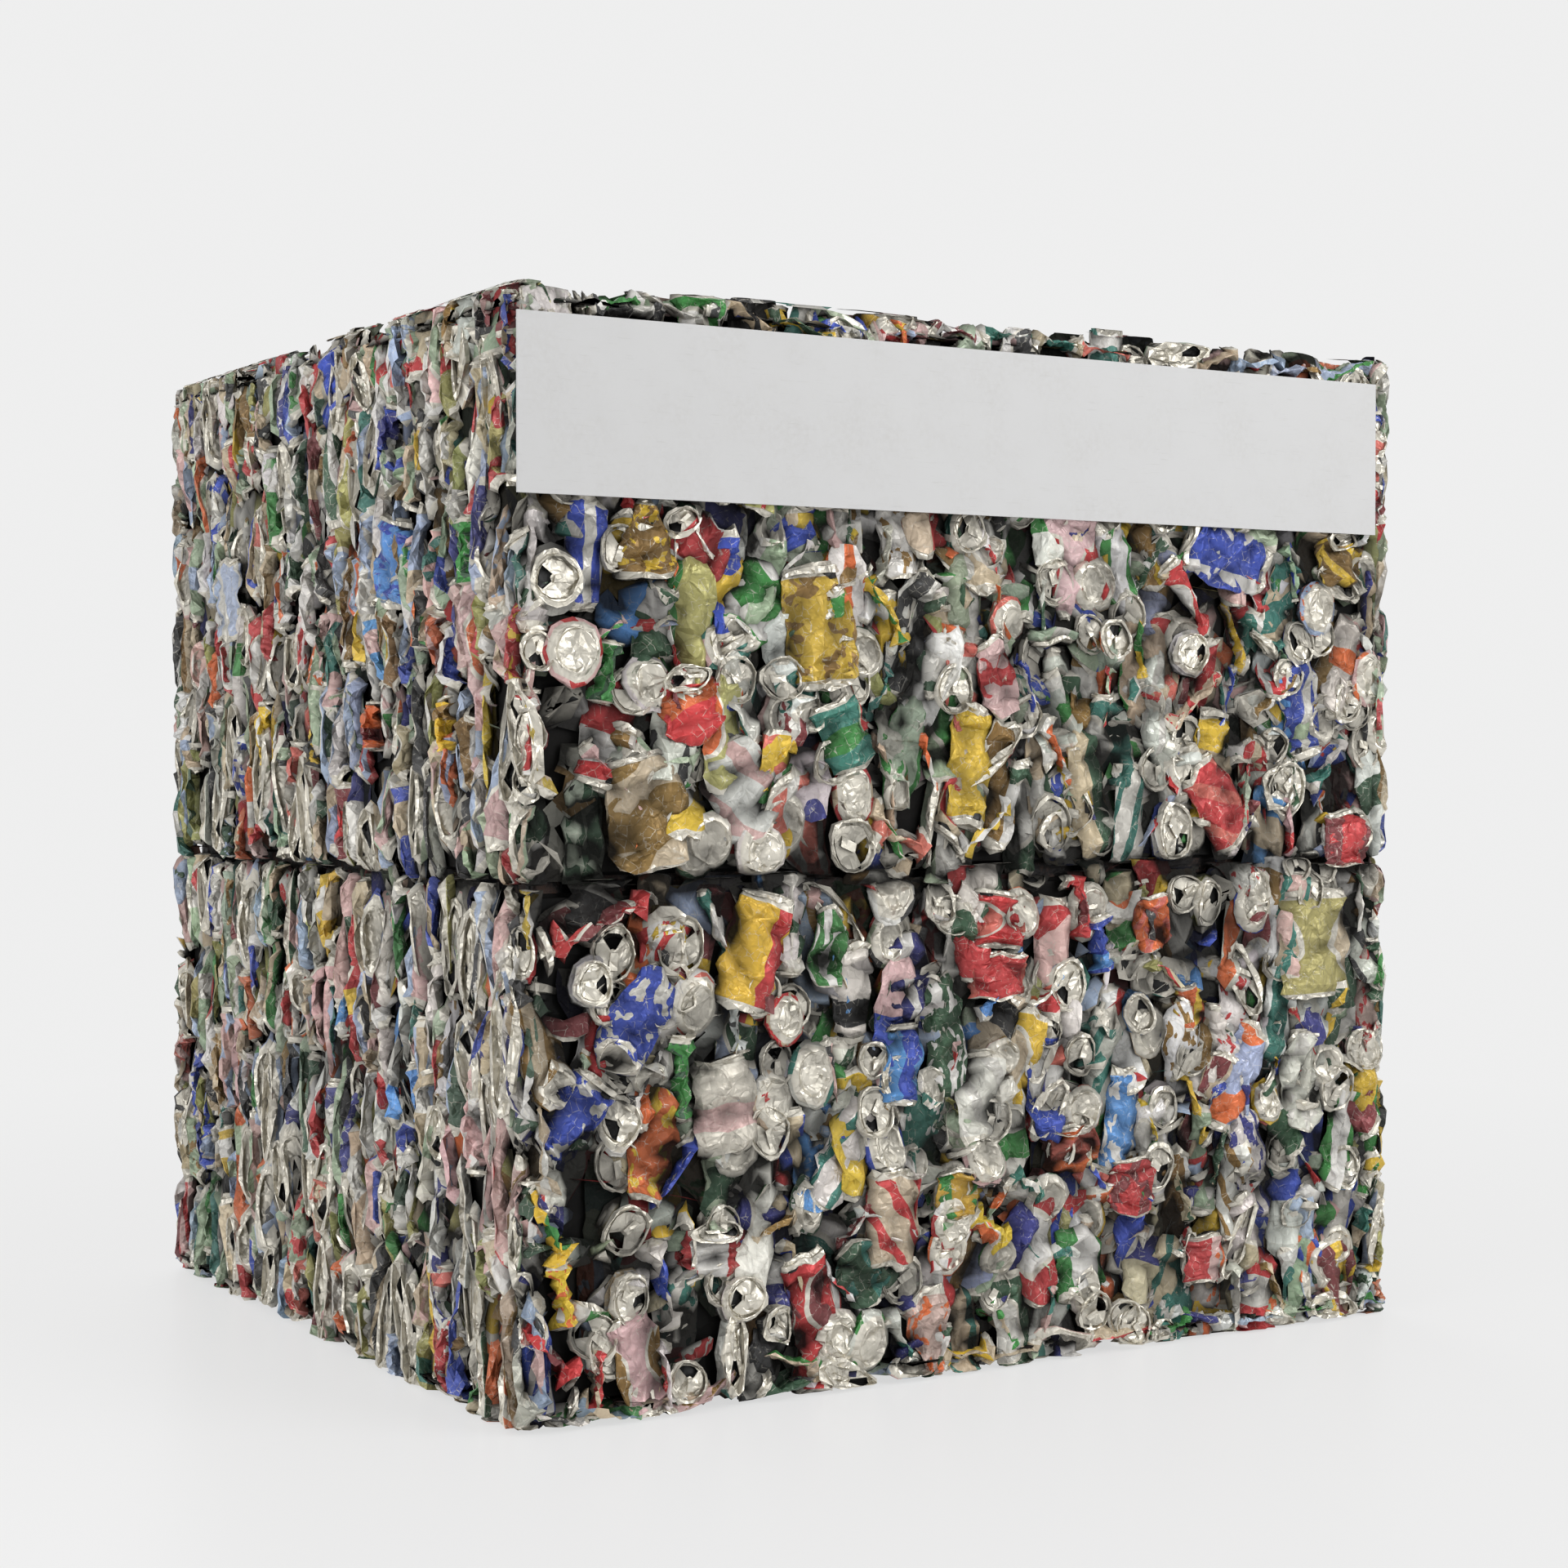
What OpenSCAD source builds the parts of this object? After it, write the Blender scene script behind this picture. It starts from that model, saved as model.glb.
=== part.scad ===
// A bale of crushed drink cans, strapped once round its waist, with a blank board on its front.
// The origin is the middle of the footprint, on the floor. +Z is up and the front faces -Y.
// The press closed along Y, so cans lie flat on the front and back and edge-on everywhere else.

/* [Bale] */
// Width of the bale, across the front
bale_w = 1130; // [850:5:1400]
// Depth of the bale, along the stroke of the press
bale_d = 1005; // [700:5:1400]
// Height of the bale
bale_h = 1100; // [900:5:1400]
// Radius of the upright edges
edge_r = 40; // [30:1:60]

/* [Cans] */
// Thickness of a flattened can, which is how deep the outer cans stand on the core
can_t = 24; // [14:1:24]
// Pitch of the flat cans across the front and back
flat_pitch_x = 64; // [50:1:90]
// Pitch of the flat cans up the front and back
flat_pitch_z = 72; // [55:1:110]
// Pitch of the edge-on cans along the stroke of the press
edge_pitch_y = 24; // [20:1:32]
// Pitch of the edge-on cans along their length
edge_pitch_l = 96; // [70:1:120]
// Length of the tapered end of an edge-on can
edge_taper = 15; // [8:1:22]
// Gap between neighbouring cans
can_gap = 3; // [2:0.5:5]
// Depth of the gaps in the underside
under_deep = 8; // [4:1:10]

/* [Tie] */
// Height of the tie above the floor
tie_z = 525; // [300:5:700]
// Height of the groove that the tie has pressed into the cans
groove_h = 24; // [22:1:50]
// How far the tie has cut in below the outer cans
tie_deep = 10; // [4:1:12]
// Width of the strap
strap_w = 16; // [12:1:19]
// Thickness of the strap
strap_t = 0.8; // [0.5:0.1:2]
// Length over which the strap's ends lap at the back
strap_lap = 150; // [100:5:300]
// Length of the crimped seal over the lap
seal_l = 38; // [25:1:60]
// Wall of the seal
seal_wall = 1.2; // [1:0.1:1.4]

/* [Label board] */
// Height of the board
board_h = 172; // [100:1:300]
// Thickness of the board
board_t = 3; // [2:0.5:6]
// Distance from the top of the bale down to the board
board_drop = 29; // [5:1:60]
// Distance from the bale's left side in to the board's end
board_in_left = 2; // [0:1:60]
// Distance from the bale's right side in to the board's end
board_in_right = 42; // [0:1:60]

/* [Hidden] */

$fn = 48;
// What the outer cans leave of the bale for the core
core_w = bale_w - 2 * can_t;
core_d = bale_d - 2 * can_t;
core_top = bale_h - can_t;
core_r = edge_r - can_t;
// The core's neck under the strap
neck_w = core_w - 2 * tie_deep;
neck_d = core_d - 2 * tie_deep;
neck_r = max(core_r - tie_deep, 2);
// The flat parts of the faces, between the rounded upright edges
flat_w = bale_w - 2 * edge_r;
flat_d = bale_d - 2 * edge_r;
// The upright cans end a little below the ones on top
rim_drop = 5;
rim_z = bale_h - rim_drop;
groove_lo = tie_z - groove_h / 2;
groove_hi = tie_z + groove_h / 2;
// How far the lattice points are shaken, as a share of a pitch
flat_shake = 0.25;
edge_shake = 0.3;
corner_shake = 0.3;
// How much of a flat can's sides its cut corners take, and how far that varies
corner_cut = 0.2;
corner_vary = 0.08;
// How far out a can stands, as a share of its full thickness, and how far that varies
stand_mean = 0.84;
stand_vary = 0.15;
// What is left between the ends of two gaps in the underside
under_web = 14;
// Clearance of the seal over the strap
seal_play = 0.2;
seal_h = strap_w + 2 * (seal_play + seal_wall);
// The top cans' patch reaches the core's rounded corners and no further
top_in = core_r * (1 - sqrt(1 / 2)) + can_gap / 2;
// How far a cutting shape runs past what it cuts
past = 1;

// The whole number of pitches nearest to a length
function whole(length, pitch) = max(1, round(length / pitch));
// n numbers from -1 to 1 that belong to one place on one face
function luck(n, face, column, row) = rands(-1, 1, n, 7919 * face + 131 * column + row + 1);
function mix(a, b, share) = a + (b - a) * share;

// A lattice point of the flat cans, shaken inside the face and straight along its borders
function lattice(i, j, cols, rows, size, face) =
    let (dice = luck(2, face, i, j),
        dx = (i == 0 || i == cols) ? 0 : flat_shake * dice[0],
        dy = (j == 0 || j == rows) ? 0 : flat_shake * dice[1])
    [size[0] * (i + dx) / cols, size[1] * (j + dy) / rows];

// One flat can's outline: its place drawn in by half a gap, with the corners cut off
function can_outline(corners, cut) =
    let (middle = (corners[0] + corners[1] + corners[2] + corners[3]) / 4,
        keep = 1 - can_gap / min(flat_pitch_x, flat_pitch_z),
        near = [for (p = corners) middle + (p - middle) * keep])
    [for (k = [0:3]) each [mix(near[k], near[(k + 3) % 4], cut), mix(near[k], near[(k + 1) % 4], cut)]];

// Where the cans of one column meet, shaken so that neighbouring columns don't line up
function joints(length, rows, shake, face, column) = [for (j = [0:rows])
    length * (j + ((j == 0 || j == rows) ? 0 : shake * luck(1, face, column, j)[0])) / rows];

// How far one can stands out: every third one reaches the bale's face
function stand(column, row, dice) =
    can_t * ((column + 2 * row) % 3 == 0 ? 1 : stand_mean + stand_vary * dice);

// An upright block with rounded upright edges
module rounded_slab(width, depth, radius, height) {
    linear_extrude(height) {
        square([width - 2 * radius, depth], center = true);
        square([width, depth - 2 * radius], center = true);
        for (x = [-1, 1], y = [-1, 1])
            translate([x * (width / 2 - radius), y * (depth / 2 - radius)]) circle(radius);
    }
}

// Cans lying flat over a patch of this size, standing on z = 0
module flat_cans(size, face) {
    cols = whole(size[0], flat_pitch_x);
    rows = whole(size[1], flat_pitch_z);
    for (i = [0:cols - 1], j = [0:rows - 1]) {
        dice = luck(2, face + 50, i, j);
        corners = [for (c = [[0, 0], [1, 0], [1, 1], [0, 1]])
            lattice(i + c[0], j + c[1], cols, rows, size, face)];
        linear_extrude(stand(i, j, dice[0]))
            polygon(can_outline(corners, corner_cut + corner_vary * dice[1]));
    }
}

// Cans seen edge-on over a patch: six-sided slivers that are long along the patch's second side
module edge_cans(size, face) {
    cols = whole(size[0], edge_pitch_y);
    rows = whole(size[1], edge_pitch_l);
    wide = size[0] / cols;
    half = (wide - can_gap) / 2;
    for (i = [0:cols - 1]) {
        cuts = joints(size[1], rows, edge_shake, face, i);
        for (j = [0:rows - 1]) {
            low = cuts[j] + can_gap / 2;
            high = cuts[j + 1] - can_gap / 2;
            taper = min(edge_taper, (high - low) / 3);
            translate([(i + 0.5) * wide, 0])
                linear_extrude(stand(i, j, luck(1, face + 50, i, j)[0]))
                    polygon([[0, low], [half, low + taper], [half, high - taper],
                        [0, high], [-half, high - taper], [-half, low + taper]]);
        }
    }
}

// Stands a patch drawn in x and y on an upright face of the core, this far out from the middle
module on_face(turn, out, width, low) {
    rotate([0, 0, turn]) translate([-width / 2, -out, low]) rotate([90, 0, 0]) children();
}

module core() {
    color([0.30, 0.30, 0.29]) {
        translate([0, 0, can_t]) rounded_slab(core_w, core_d, core_r, groove_lo - can_t);
        translate([0, 0, groove_lo]) rounded_slab(neck_w, neck_d, neck_r, groove_h);
        translate([0, 0, groove_hi]) rounded_slab(core_w, core_d, core_r, core_top - groove_hi);
    }
}

module front_cans(low, high, face) {
    color([0.66, 0.65, 0.62]) on_face(0, core_d / 2, flat_w, low) flat_cans([flat_w, high - low], face);
}

module back_cans(low, high, face) {
    color([0.64, 0.64, 0.62]) on_face(180, core_d / 2, flat_w, low) flat_cans([flat_w, high - low], face);
}

module left_cans(low, high, face) {
    color([0.58, 0.58, 0.55]) on_face(-90, core_w / 2, flat_d, low) edge_cans([flat_d, high - low], face);
}

module right_cans(low, high, face) {
    color([0.58, 0.57, 0.55]) on_face(90, core_w / 2, flat_d, low) edge_cans([flat_d, high - low], face);
}

// Cans wrapped round the four upright edges, one above the other
module corner_cans(low, high, face) {
    rows = whole(high - low, edge_pitch_l);
    // The angle that half a gap takes up at the core's edge
    lean = asin(can_gap / 2 / core_r);
    color([0.60, 0.60, 0.58])
        for (x = [0, 1], y = [0, 1]) {
            cuts = joints(high - low, rows, corner_shake, face, x + 2 * y);
            for (j = [0:rows - 1])
                mirror([x, 0, 0]) mirror([0, y, 0])
                    translate([flat_w / 2, flat_d / 2, low + cuts[j] + can_gap / 2])
                        rotate([0, 0, lean]) rotate_extrude(angle = 90 - 2 * lean)
                            translate([core_r, 0]) square([can_t, cuts[j + 1] - cuts[j] - can_gap]);
        }
}

// Edge-on cans over the top, long across the bale
module top_cans() {
    patch_w = core_w - 2 * top_in;
    patch_d = core_d - 2 * top_in;
    color([0.62, 0.62, 0.60]) translate([patch_w / 2, -patch_d / 2, core_top])
        rotate([0, 0, 90]) edge_cans([patch_d, patch_w], 9);
}

// The layer that the bale stands on, with the gaps between its cans cut into its underside
module bottom_cans() {
    cols = whole(flat_d, edge_pitch_y);
    rows = whole(flat_w, edge_pitch_l);
    long = flat_w / rows;
    color([0.55, 0.55, 0.53]) difference() {
        rounded_slab(core_w, core_d, core_r, can_t);
        for (i = [1:cols - 1], j = [0:rows - 1])
            translate([-flat_w / 2 + (j + 0.5 + (i % 2 - 0.5) / 2) * long,
                -flat_d / 2 + i * flat_d / cols, 0])
                cube([long - under_web, can_gap, 2 * under_deep], center = true);
    }
}

// A closed band round the core, with one end lapped over the other at the back
module strap() {
    color([0.10, 0.09, 0.09]) translate([0, 0, tie_z - strap_w / 2]) {
        difference() {
            rounded_slab(neck_w + 2 * strap_t, neck_d + 2 * strap_t, neck_r + strap_t, strap_w);
            translate([0, 0, -past]) rounded_slab(neck_w, neck_d, neck_r, strap_w + 2 * past);
        }
        translate([-strap_lap / 2, neck_d / 2 + strap_t, 0]) cube([strap_lap, strap_t, strap_w]);
    }
}

// A crimped sleeve over the lap
module strap_seal() {
    hollow = 2 * strap_t + seal_play;
    color([0.16, 0.15, 0.15]) translate([0, neck_d / 2, tie_z]) difference() {
        translate([-seal_l / 2, 0, -seal_h / 2]) cube([seal_l, hollow + seal_wall, seal_h]);
        translate([-seal_l / 2 - past, -past, -strap_w / 2 - seal_play])
            cube([seal_l + 2 * past, hollow + past, strap_w + 2 * seal_play]);
    }
}

// A blank board flat against the front, just below its top edge
module label_board() {
    color([0.93, 0.93, 0.92])
        translate([-bale_w / 2 + board_in_left, -bale_d / 2 - board_t, bale_h - board_drop - board_h])
            cube([bale_w - board_in_left - board_in_right, board_t, board_h]);
}

core();
front_cans(0, groove_lo, 1);  // front_cans_lower
front_cans(groove_hi, rim_z, 2);  // front_cans_upper
back_cans(0, groove_lo, 3);  // back_cans_lower
back_cans(groove_hi, rim_z, 4);  // back_cans_upper
left_cans(0, groove_lo, 5);  // left_cans_lower
left_cans(groove_hi, rim_z, 6);  // left_cans_upper
right_cans(0, groove_lo, 7);  // right_cans_lower
right_cans(groove_hi, rim_z, 8);  // right_cans_upper
corner_cans(0, groove_lo, 10);  // corner_cans_lower
corner_cans(groove_hi, rim_z, 11);  // corner_cans_upper
top_cans();
bottom_cans();
strap();
strap_seal();
label_board();
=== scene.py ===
# Crushed can bale: the looks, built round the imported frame. Metres, +Z up, the front faces -Y.
import math

import bmesh
import bpy
import numpy as np
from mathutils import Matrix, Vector


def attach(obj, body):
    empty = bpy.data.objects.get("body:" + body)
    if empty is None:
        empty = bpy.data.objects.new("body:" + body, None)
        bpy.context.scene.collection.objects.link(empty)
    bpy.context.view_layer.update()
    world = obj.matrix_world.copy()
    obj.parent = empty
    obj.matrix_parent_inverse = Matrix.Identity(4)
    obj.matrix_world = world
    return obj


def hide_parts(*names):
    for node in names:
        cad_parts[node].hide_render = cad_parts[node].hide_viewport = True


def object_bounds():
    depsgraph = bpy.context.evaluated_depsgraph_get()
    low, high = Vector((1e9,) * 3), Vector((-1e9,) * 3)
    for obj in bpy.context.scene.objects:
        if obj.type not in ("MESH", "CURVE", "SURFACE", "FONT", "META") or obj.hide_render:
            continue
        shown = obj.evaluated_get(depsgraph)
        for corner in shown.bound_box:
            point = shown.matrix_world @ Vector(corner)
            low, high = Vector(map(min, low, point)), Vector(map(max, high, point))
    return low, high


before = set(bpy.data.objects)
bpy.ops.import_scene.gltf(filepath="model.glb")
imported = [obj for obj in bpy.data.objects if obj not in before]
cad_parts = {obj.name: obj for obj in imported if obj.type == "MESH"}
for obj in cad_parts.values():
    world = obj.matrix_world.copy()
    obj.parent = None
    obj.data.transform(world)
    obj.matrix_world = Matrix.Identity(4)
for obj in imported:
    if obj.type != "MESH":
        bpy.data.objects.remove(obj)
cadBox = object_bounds()
lowCorner, highCorner = (np.array(corner) for corner in cadBox)
print("frame loaded", [round(float(v), 3) for v in highCorner - lowCorner])


def only(piece):
    bpy.ops.object.select_all(action="DESELECT")
    piece.select_set(True)
    bpy.context.view_layer.objects.active = piece


def openEdit(piece):
    only(piece)
    bpy.ops.object.mode_set(mode="EDIT")
    bpy.ops.mesh.select_all(action="DESELECT")


def closeEdit():
    bpy.ops.object.mode_set(mode="OBJECT")


def pick(piece, test, kind="VERT"):  # selects what passes the test, in edit mode
    bpy.ops.mesh.select_all(action="DESELECT")
    bpy.ops.mesh.select_mode(type=kind)
    mesh = bmesh.from_edit_mesh(piece.data)
    items = {"VERT": mesh.verts, "EDGE": mesh.edges, "FACE": mesh.faces}[kind]
    for item in items:
        if test(item):
            item.select_set(True)
    mesh.select_flush_mode()
    bmesh.update_edit_mesh(piece.data)


def applyAll(piece):
    only(piece)
    for modifier in list(piece.modifiers):
        bpy.ops.object.modifier_apply(modifier=modifier.name)


def linear(colour):  # a colour as it is seen, to the linear values that shaders take
    return tuple(c / 12.92 if c <= 0.04045 else ((c + 0.055) / 1.055) ** 2.4 for c in colour)


def readArray(items, field, width, kind=np.float32):  # rows of as many values as width says
    values = np.empty(len(items) * width, kind)
    items.foreach_get(field, values)
    return values.reshape(-1, width)


def readCorners(data):  # the numbers of each triangle's vertices
    return readArray(data.loops, "vertex_index", 1, np.int32).reshape(-1, 3)


cameraSet = {
    "turn": 31.26,  # degrees round to the left of the front
    "away": 3.338,  # from the bale's middle, along the floor
    "aside": 0.032,
    "height": 0.670,
    "tip": -1.013,  # degrees, down is minus
    "lens": 63.58,
    "sensor": 36.0,
}

turn = math.radians(cameraSet["turn"])
ahead = Vector((math.sin(turn), math.cos(turn), 0.0))
rightward = Vector((math.cos(turn), -math.sin(turn), 0.0))
eye = rightward * cameraSet["aside"] - ahead * cameraSet["away"] + Vector((0, 0, cameraSet["height"]))
bpy.ops.object.camera_add(location=eye, rotation=(math.radians(90 + cameraSet["tip"]), 0, -turn))
camera = bpy.context.object
camera.name = "mainCamera"
camera.data.sensor_width = cameraSet["sensor"]
camera.data.lens = cameraSet["lens"]
bpy.context.scene.camera = camera

# one straight can, modelled once
canSet = {
    "sides": 16,
    "radius": 0.033,
    "body": 0.100,
    "rings": 10,
    "liteShare": 0.62,  # of the triangles
    "lid": [(0.0095, 0.83), (0.0014, 1.05), (0.0012, 1.0), (0.0, 0.93), (-0.0055, 0.93), (0.0, 0.95),
            (0.0018, 0.98), (0.0, 0.92), (0.0, 0.26)],  # rise and spread of each step of the lid
    "foot": [(-0.0085, 0.76), (-0.0020, 0.95), (0.0, 0.90), (0.0055, 0.80), (0.0020, 0.55)],
    "mouth": (0.007, 0.020, 44),  # the opening: from and to this far out, and half its spread in degrees
    "mouthRim": 0.0018,
    "mouthDeep": 0.007,
    "tab": (0.021, 0.0016, 0.013),
    "tabAside": -0.006,
    "tabBelow": 0.0035,  # below the rim
    "apart": (0.37, 0.23),  # between the crushed ones, so that each meets other dents
}


def growEnd(steps):
    for rise, spread in steps:
        bpy.ops.mesh.extrude_region_move(TRANSFORM_OT_translate={"value": (0, rise, 0)})
        bpy.ops.transform.resize(value=(spread, 1, spread))


def makeStraightCan():
    c = canSet
    bpy.ops.mesh.primitive_cylinder_add(vertices=c["sides"], radius=c["radius"], depth=c["body"],
                                        end_fill_type="NGON", rotation=(math.radians(-90), 0, 0))
    can = bpy.context.object
    can.name = "straightCan"
    bpy.ops.object.transform_apply(location=False, rotation=True, scale=False)
    openEdit(can)
    pick(can, lambda e: abs(e.verts[0].co.y - e.verts[1].co.y) > c["body"] / 2, "EDGE")
    bpy.ops.mesh.subdivide(number_cuts=c["rings"])
    pick(can, lambda f: f.normal.y > 0.9, "FACE")
    growEnd(c["lid"])
    near, far, spread = c["mouth"]

    def inMouth(face):
        middle = face.calc_center_median()
        out = math.hypot(middle.x, middle.z)
        lean = abs(math.degrees(math.atan2(middle.z, middle.x)))
        return face.normal.y > 0.9 and near < out < far and lean < spread

    pick(can, inMouth, "FACE")
    bpy.ops.mesh.inset(thickness=c["mouthRim"])
    bpy.ops.mesh.extrude_region_move(TRANSFORM_OT_translate={"value": (0, -c["mouthDeep"], 0)})
    pick(can, lambda f: f.normal.y < -0.9, "FACE")
    growEnd(c["foot"])
    lidTop = max(v.co.y for v in bmesh.from_edit_mesh(can.data).verts) - c["tabBelow"]
    bpy.ops.mesh.select_all(action="DESELECT")
    bpy.ops.mesh.primitive_cube_add(size=1, location=(c["tabAside"], lidTop, 0), scale=c["tab"])
    closeEdit()
    rest = readArray(can.data.vertices, "co", 3)
    can.data.attributes.new("canRest", "FLOAT_VECTOR", "POINT").data.foreach_set("vector", rest.ravel())
    return can


def copyOf(source, name, place):
    only(source)
    bpy.ops.object.duplicate()
    copy = bpy.context.object
    copy.name = name
    copy.location = place
    return copy


def about(can, centre, reach):  # what a squeeze and a turn have in common
    return {"center_override": Vector(centre) + can.location, "use_proportional_edit": reach > 0,
            "proportional_edit_falloff": "SMOOTH", "proportional_size": max(reach, 0.001)}


def squeeze(can, test, value, centre=(0, 0, 0), reach=0.0):
    pick(can, test)
    bpy.ops.transform.resize(value=value, **about(can, centre, reach))


def turnPart(can, test, degrees, axis, centre, reach=0.0):
    pick(can, test)
    bpy.ops.transform.rotate(value=math.radians(degrees), orient_axis=axis, **about(can, centre, reach))


def turnAll(can, degrees, axis):
    bpy.ops.mesh.select_all(action="SELECT")
    bpy.ops.transform.rotate(value=math.radians(degrees), orient_axis=axis, center_override=can.location)


def dent(can, size, depth, kind="VORONOI"):
    texture = bpy.data.textures.new(f"{can.name}Dents", kind)
    texture.noise_scale = size
    if kind == "VORONOI":  # the second distance less the first: flat facets that meet in sharp valleys
        texture.weight_1 = -1.0
        texture.weight_2 = 1.0
        texture.noise_intensity = 1.5
    else:
        texture.noise_depth = 2
    modifier = can.modifiers.new("dents", "DISPLACE")
    modifier.texture = texture
    modifier.texture_coords = "GLOBAL"
    modifier.strength = depth
    modifier.mid_level = 0.45


def deform(can, method, axis, degrees):
    modifier = can.modifiers.new("deform", "SIMPLE_DEFORM")
    modifier.deform_method = method
    modifier.deform_axis = axis
    modifier.angle = math.radians(degrees)


crushSet = {
    "bodyTo": 0.040,  # how far from its middle a can gives way, and how far that eases on
    "bodyEase": 0.022,
    "endFrom": 0.046,  # its stiff ends
    "foldFrom": 0.048,
    "foldAt": 0.047,
    "foldEase": 0.020,
    "fineDents": (0.012, 0.004),  # size and depth
    "puckDents": 0.034,
    "puckFine": (0.014, 0.003),
}
# what a way of crushing below has unless it says otherwise
sideUsual = {"endWide": 1.1, "endThick": 0.8, "lidFold": 0, "footFold": 0, "dentSize": 0.030,
             "dentDeep": 0.012}
endsUsual = {"oval": 1.0, "dentDeep": 0.009}


def crushSide(can, how):  # flattened from the side; its stiff ends fold over to face out
    s = crushSet
    openEdit(can)
    squeeze(can, lambda v: abs(v.co.y) < s["bodyTo"], (how["widen"], 1, how["thick"]), reach=s["bodyEase"])
    squeeze(can, lambda v: abs(v.co.y) > s["endFrom"], (how["endWide"], 1, how["endThick"]))
    for side, degrees in ((1, how["lidFold"]), (-1, how["footFold"])):
        if degrees:
            turnPart(can, lambda v, side=side: v.co.y * side > s["foldFrom"], degrees, "X",
                     (0, side * s["foldAt"], 0), s["foldEase"])
    closeEdit()
    dent(can, how["dentSize"], how["dentDeep"])
    dent(can, *s["fineDents"], "CLOUDS")
    applyAll(can)


def crushEnds(can, how):  # pressed along its length into a puck, one end facing out
    s = crushSet
    openEdit(can)
    ringGap = canSet["body"] / (canSet["rings"] + 1)
    for ring in range(1, canSet["rings"] + 1):
        level = -canSet["body"] / 2 + ring * ringGap
        spread = how["fold"] if ring % 2 else 2.0 - how["fold"]
        squeeze(can, lambda v, at=level: abs(v.co.y - at) < ringGap / 3, (spread, 1, spread), (0, level, 0))
    sign = 1 if how["faces"] == "lid" else -1
    squeeze(can, lambda v: v.co.y * sign < s["foldFrom"], (1, how["flat"], 1), (0, sign * s["foldAt"], 0))
    squeeze(can, lambda v: True, (how["oval"], 1, 1))
    turnAll(can, -90 * sign, "X")
    closeEdit()
    dent(can, s["puckDents"], how["dentDeep"])
    dent(can, *s["puckFine"], "CLOUDS")
    applyAll(can)


# what is squeezed to which share, and degrees of folds and bends
canWays = {
    "lidOver": {"thick": 0.22, "widen": 1.38, "lidFold": 78, "footFold": 80},
    "lidOverB": {"thick": 0.26, "widen": 1.30, "lidFold": 62, "footFold": -85, "dentSize": 0.024},
    "footOver": {"thick": 0.20, "widen": 1.40, "lidFold": -80, "footFold": -72, "dentDeep": 0.014},
    "flat": {"thick": 0.20, "widen": 1.42, "endThick": 0.30, "endWide": 1.35, "dentDeep": 0.014},
    "flatB": {"thick": 0.28, "widen": 1.25, "endThick": 0.42, "endWide": 1.22, "dentSize": 0.020},
    "waisted": {"thick": 0.16, "widen": 1.30, "lidFold": 35, "footFold": -30, "dentSize": 0.040,
                "dentDeep": 0.016},
    "puckLid": {"fold": 1.12, "flat": 0.13, "faces": "lid"},
    "puckLidB": {"fold": 1.18, "flat": 0.17, "faces": "lid", "oval": 0.86, "dentDeep": 0.012},
    "puckFoot": {"fold": 1.10, "flat": 0.13, "faces": "foot"},
    "puckFootB": {"fold": 1.16, "flat": 0.18, "faces": "foot", "oval": 0.84, "dentDeep": 0.013},
    "twisted": {"thick": 0.26, "widen": 1.30, "endThick": 0.5, "endWide": 1.2, "bend": ("TWIST", "Y", 75)},
    "twistedB": {"thick": 0.22, "widen": 1.36, "lidFold": 70, "dentSize": 0.022,
                 "bend": ("TWIST", "Y", -50)},
    "folded": {"thick": 0.18, "widen": 1.35, "endThick": 0.35, "endWide": 1.25, "bend": ("BEND", "X", 80)},
    "curled": {"thick": 0.22, "widen": 1.25, "endThick": 0.4, "endWide": 1.2, "bend": ("BEND", "Z", 60)},
}


def makeVariants(straight):
    made = {}
    right, back = canSet["apart"]
    for number, (name, how) in enumerate(canWays.items()):
        can = copyOf(straight, name, (right * (number + 1), back * number, 0))
        if "faces" in how:
            crushEnds(can, {**endsUsual, **how})
        else:
            crushSide(can, {**sideUsual, **how})
        if "bend" in how:
            deform(can, *how["bend"])
            applyAll(can)
        made[name] = can
    return made


def keepShare(can, share):  # of its faces
    can.modifiers.new("fewer", "DECIMATE").ratio = share
    applyAll(can)


# cans of which only the outermost part shows, on edge or as an end between others: the rest is cut away
cutSet = {  # name: made from, turned about, by how many degrees, depth kept, triangles
    "edgeFlat": ("flat", "Y", 90, 0.030, 210),
    "edgeFlatB": ("flatB", "Y", -90, 0.030, 210),
    "edgeLid": ("lidOver", "Y", 90, 0.030, 210),
    "edgeLidB": ("lidOverB", "Y", -90, 0.030, 210),
    "edgeFoot": ("footOver", "Y", 90, 0.030, 210),
    "edgeWaist": ("waisted", "Y", -90, 0.030, 210),
    "edgeTwist": ("twisted", "Y", 90, 0.030, 210),
    "endLid": ("flatB", "X", -90, 0.030, 210),
    "endFoot": ("waisted", "X", 90, 0.030, 210),
    "discLid": ("puckLid", "Z", 0, 0.010, 360),
    "discFoot": ("puckFoot", "Z", 0, 0.010, 280),
    "deepFlat": ("flatB", "Z", 0, 0.012, 130),
    "deepWaist": ("waisted", "Z", 0, 0.012, 130),
    "deepFoot": ("footOver", "Z", 0, 0.012, 130),
    "deepLid": ("lidOver", "Z", 0, 0.012, 130),
}


def makeCutVariant(source, name, axis, degrees, keep, triangles):
    can = copyOf(source, name, source.location)
    openEdit(can)
    turnAll(can, degrees, axis)
    if axis == "X":  # its squashed end faces out, so it is laid along the others
        turnAll(can, 90, "Z")
    top = max(v.co.z for v in bmesh.from_edit_mesh(can.data).verts)
    bpy.ops.mesh.bisect(plane_co=(0, 0, top - keep), plane_no=(0, 0, 1), use_fill=True, clear_inner=True)
    closeEdit()
    keepShare(can, min(1.0, triangles / sum(len(face.vertices) - 2 for face in can.data.polygons)))
    return can


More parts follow.
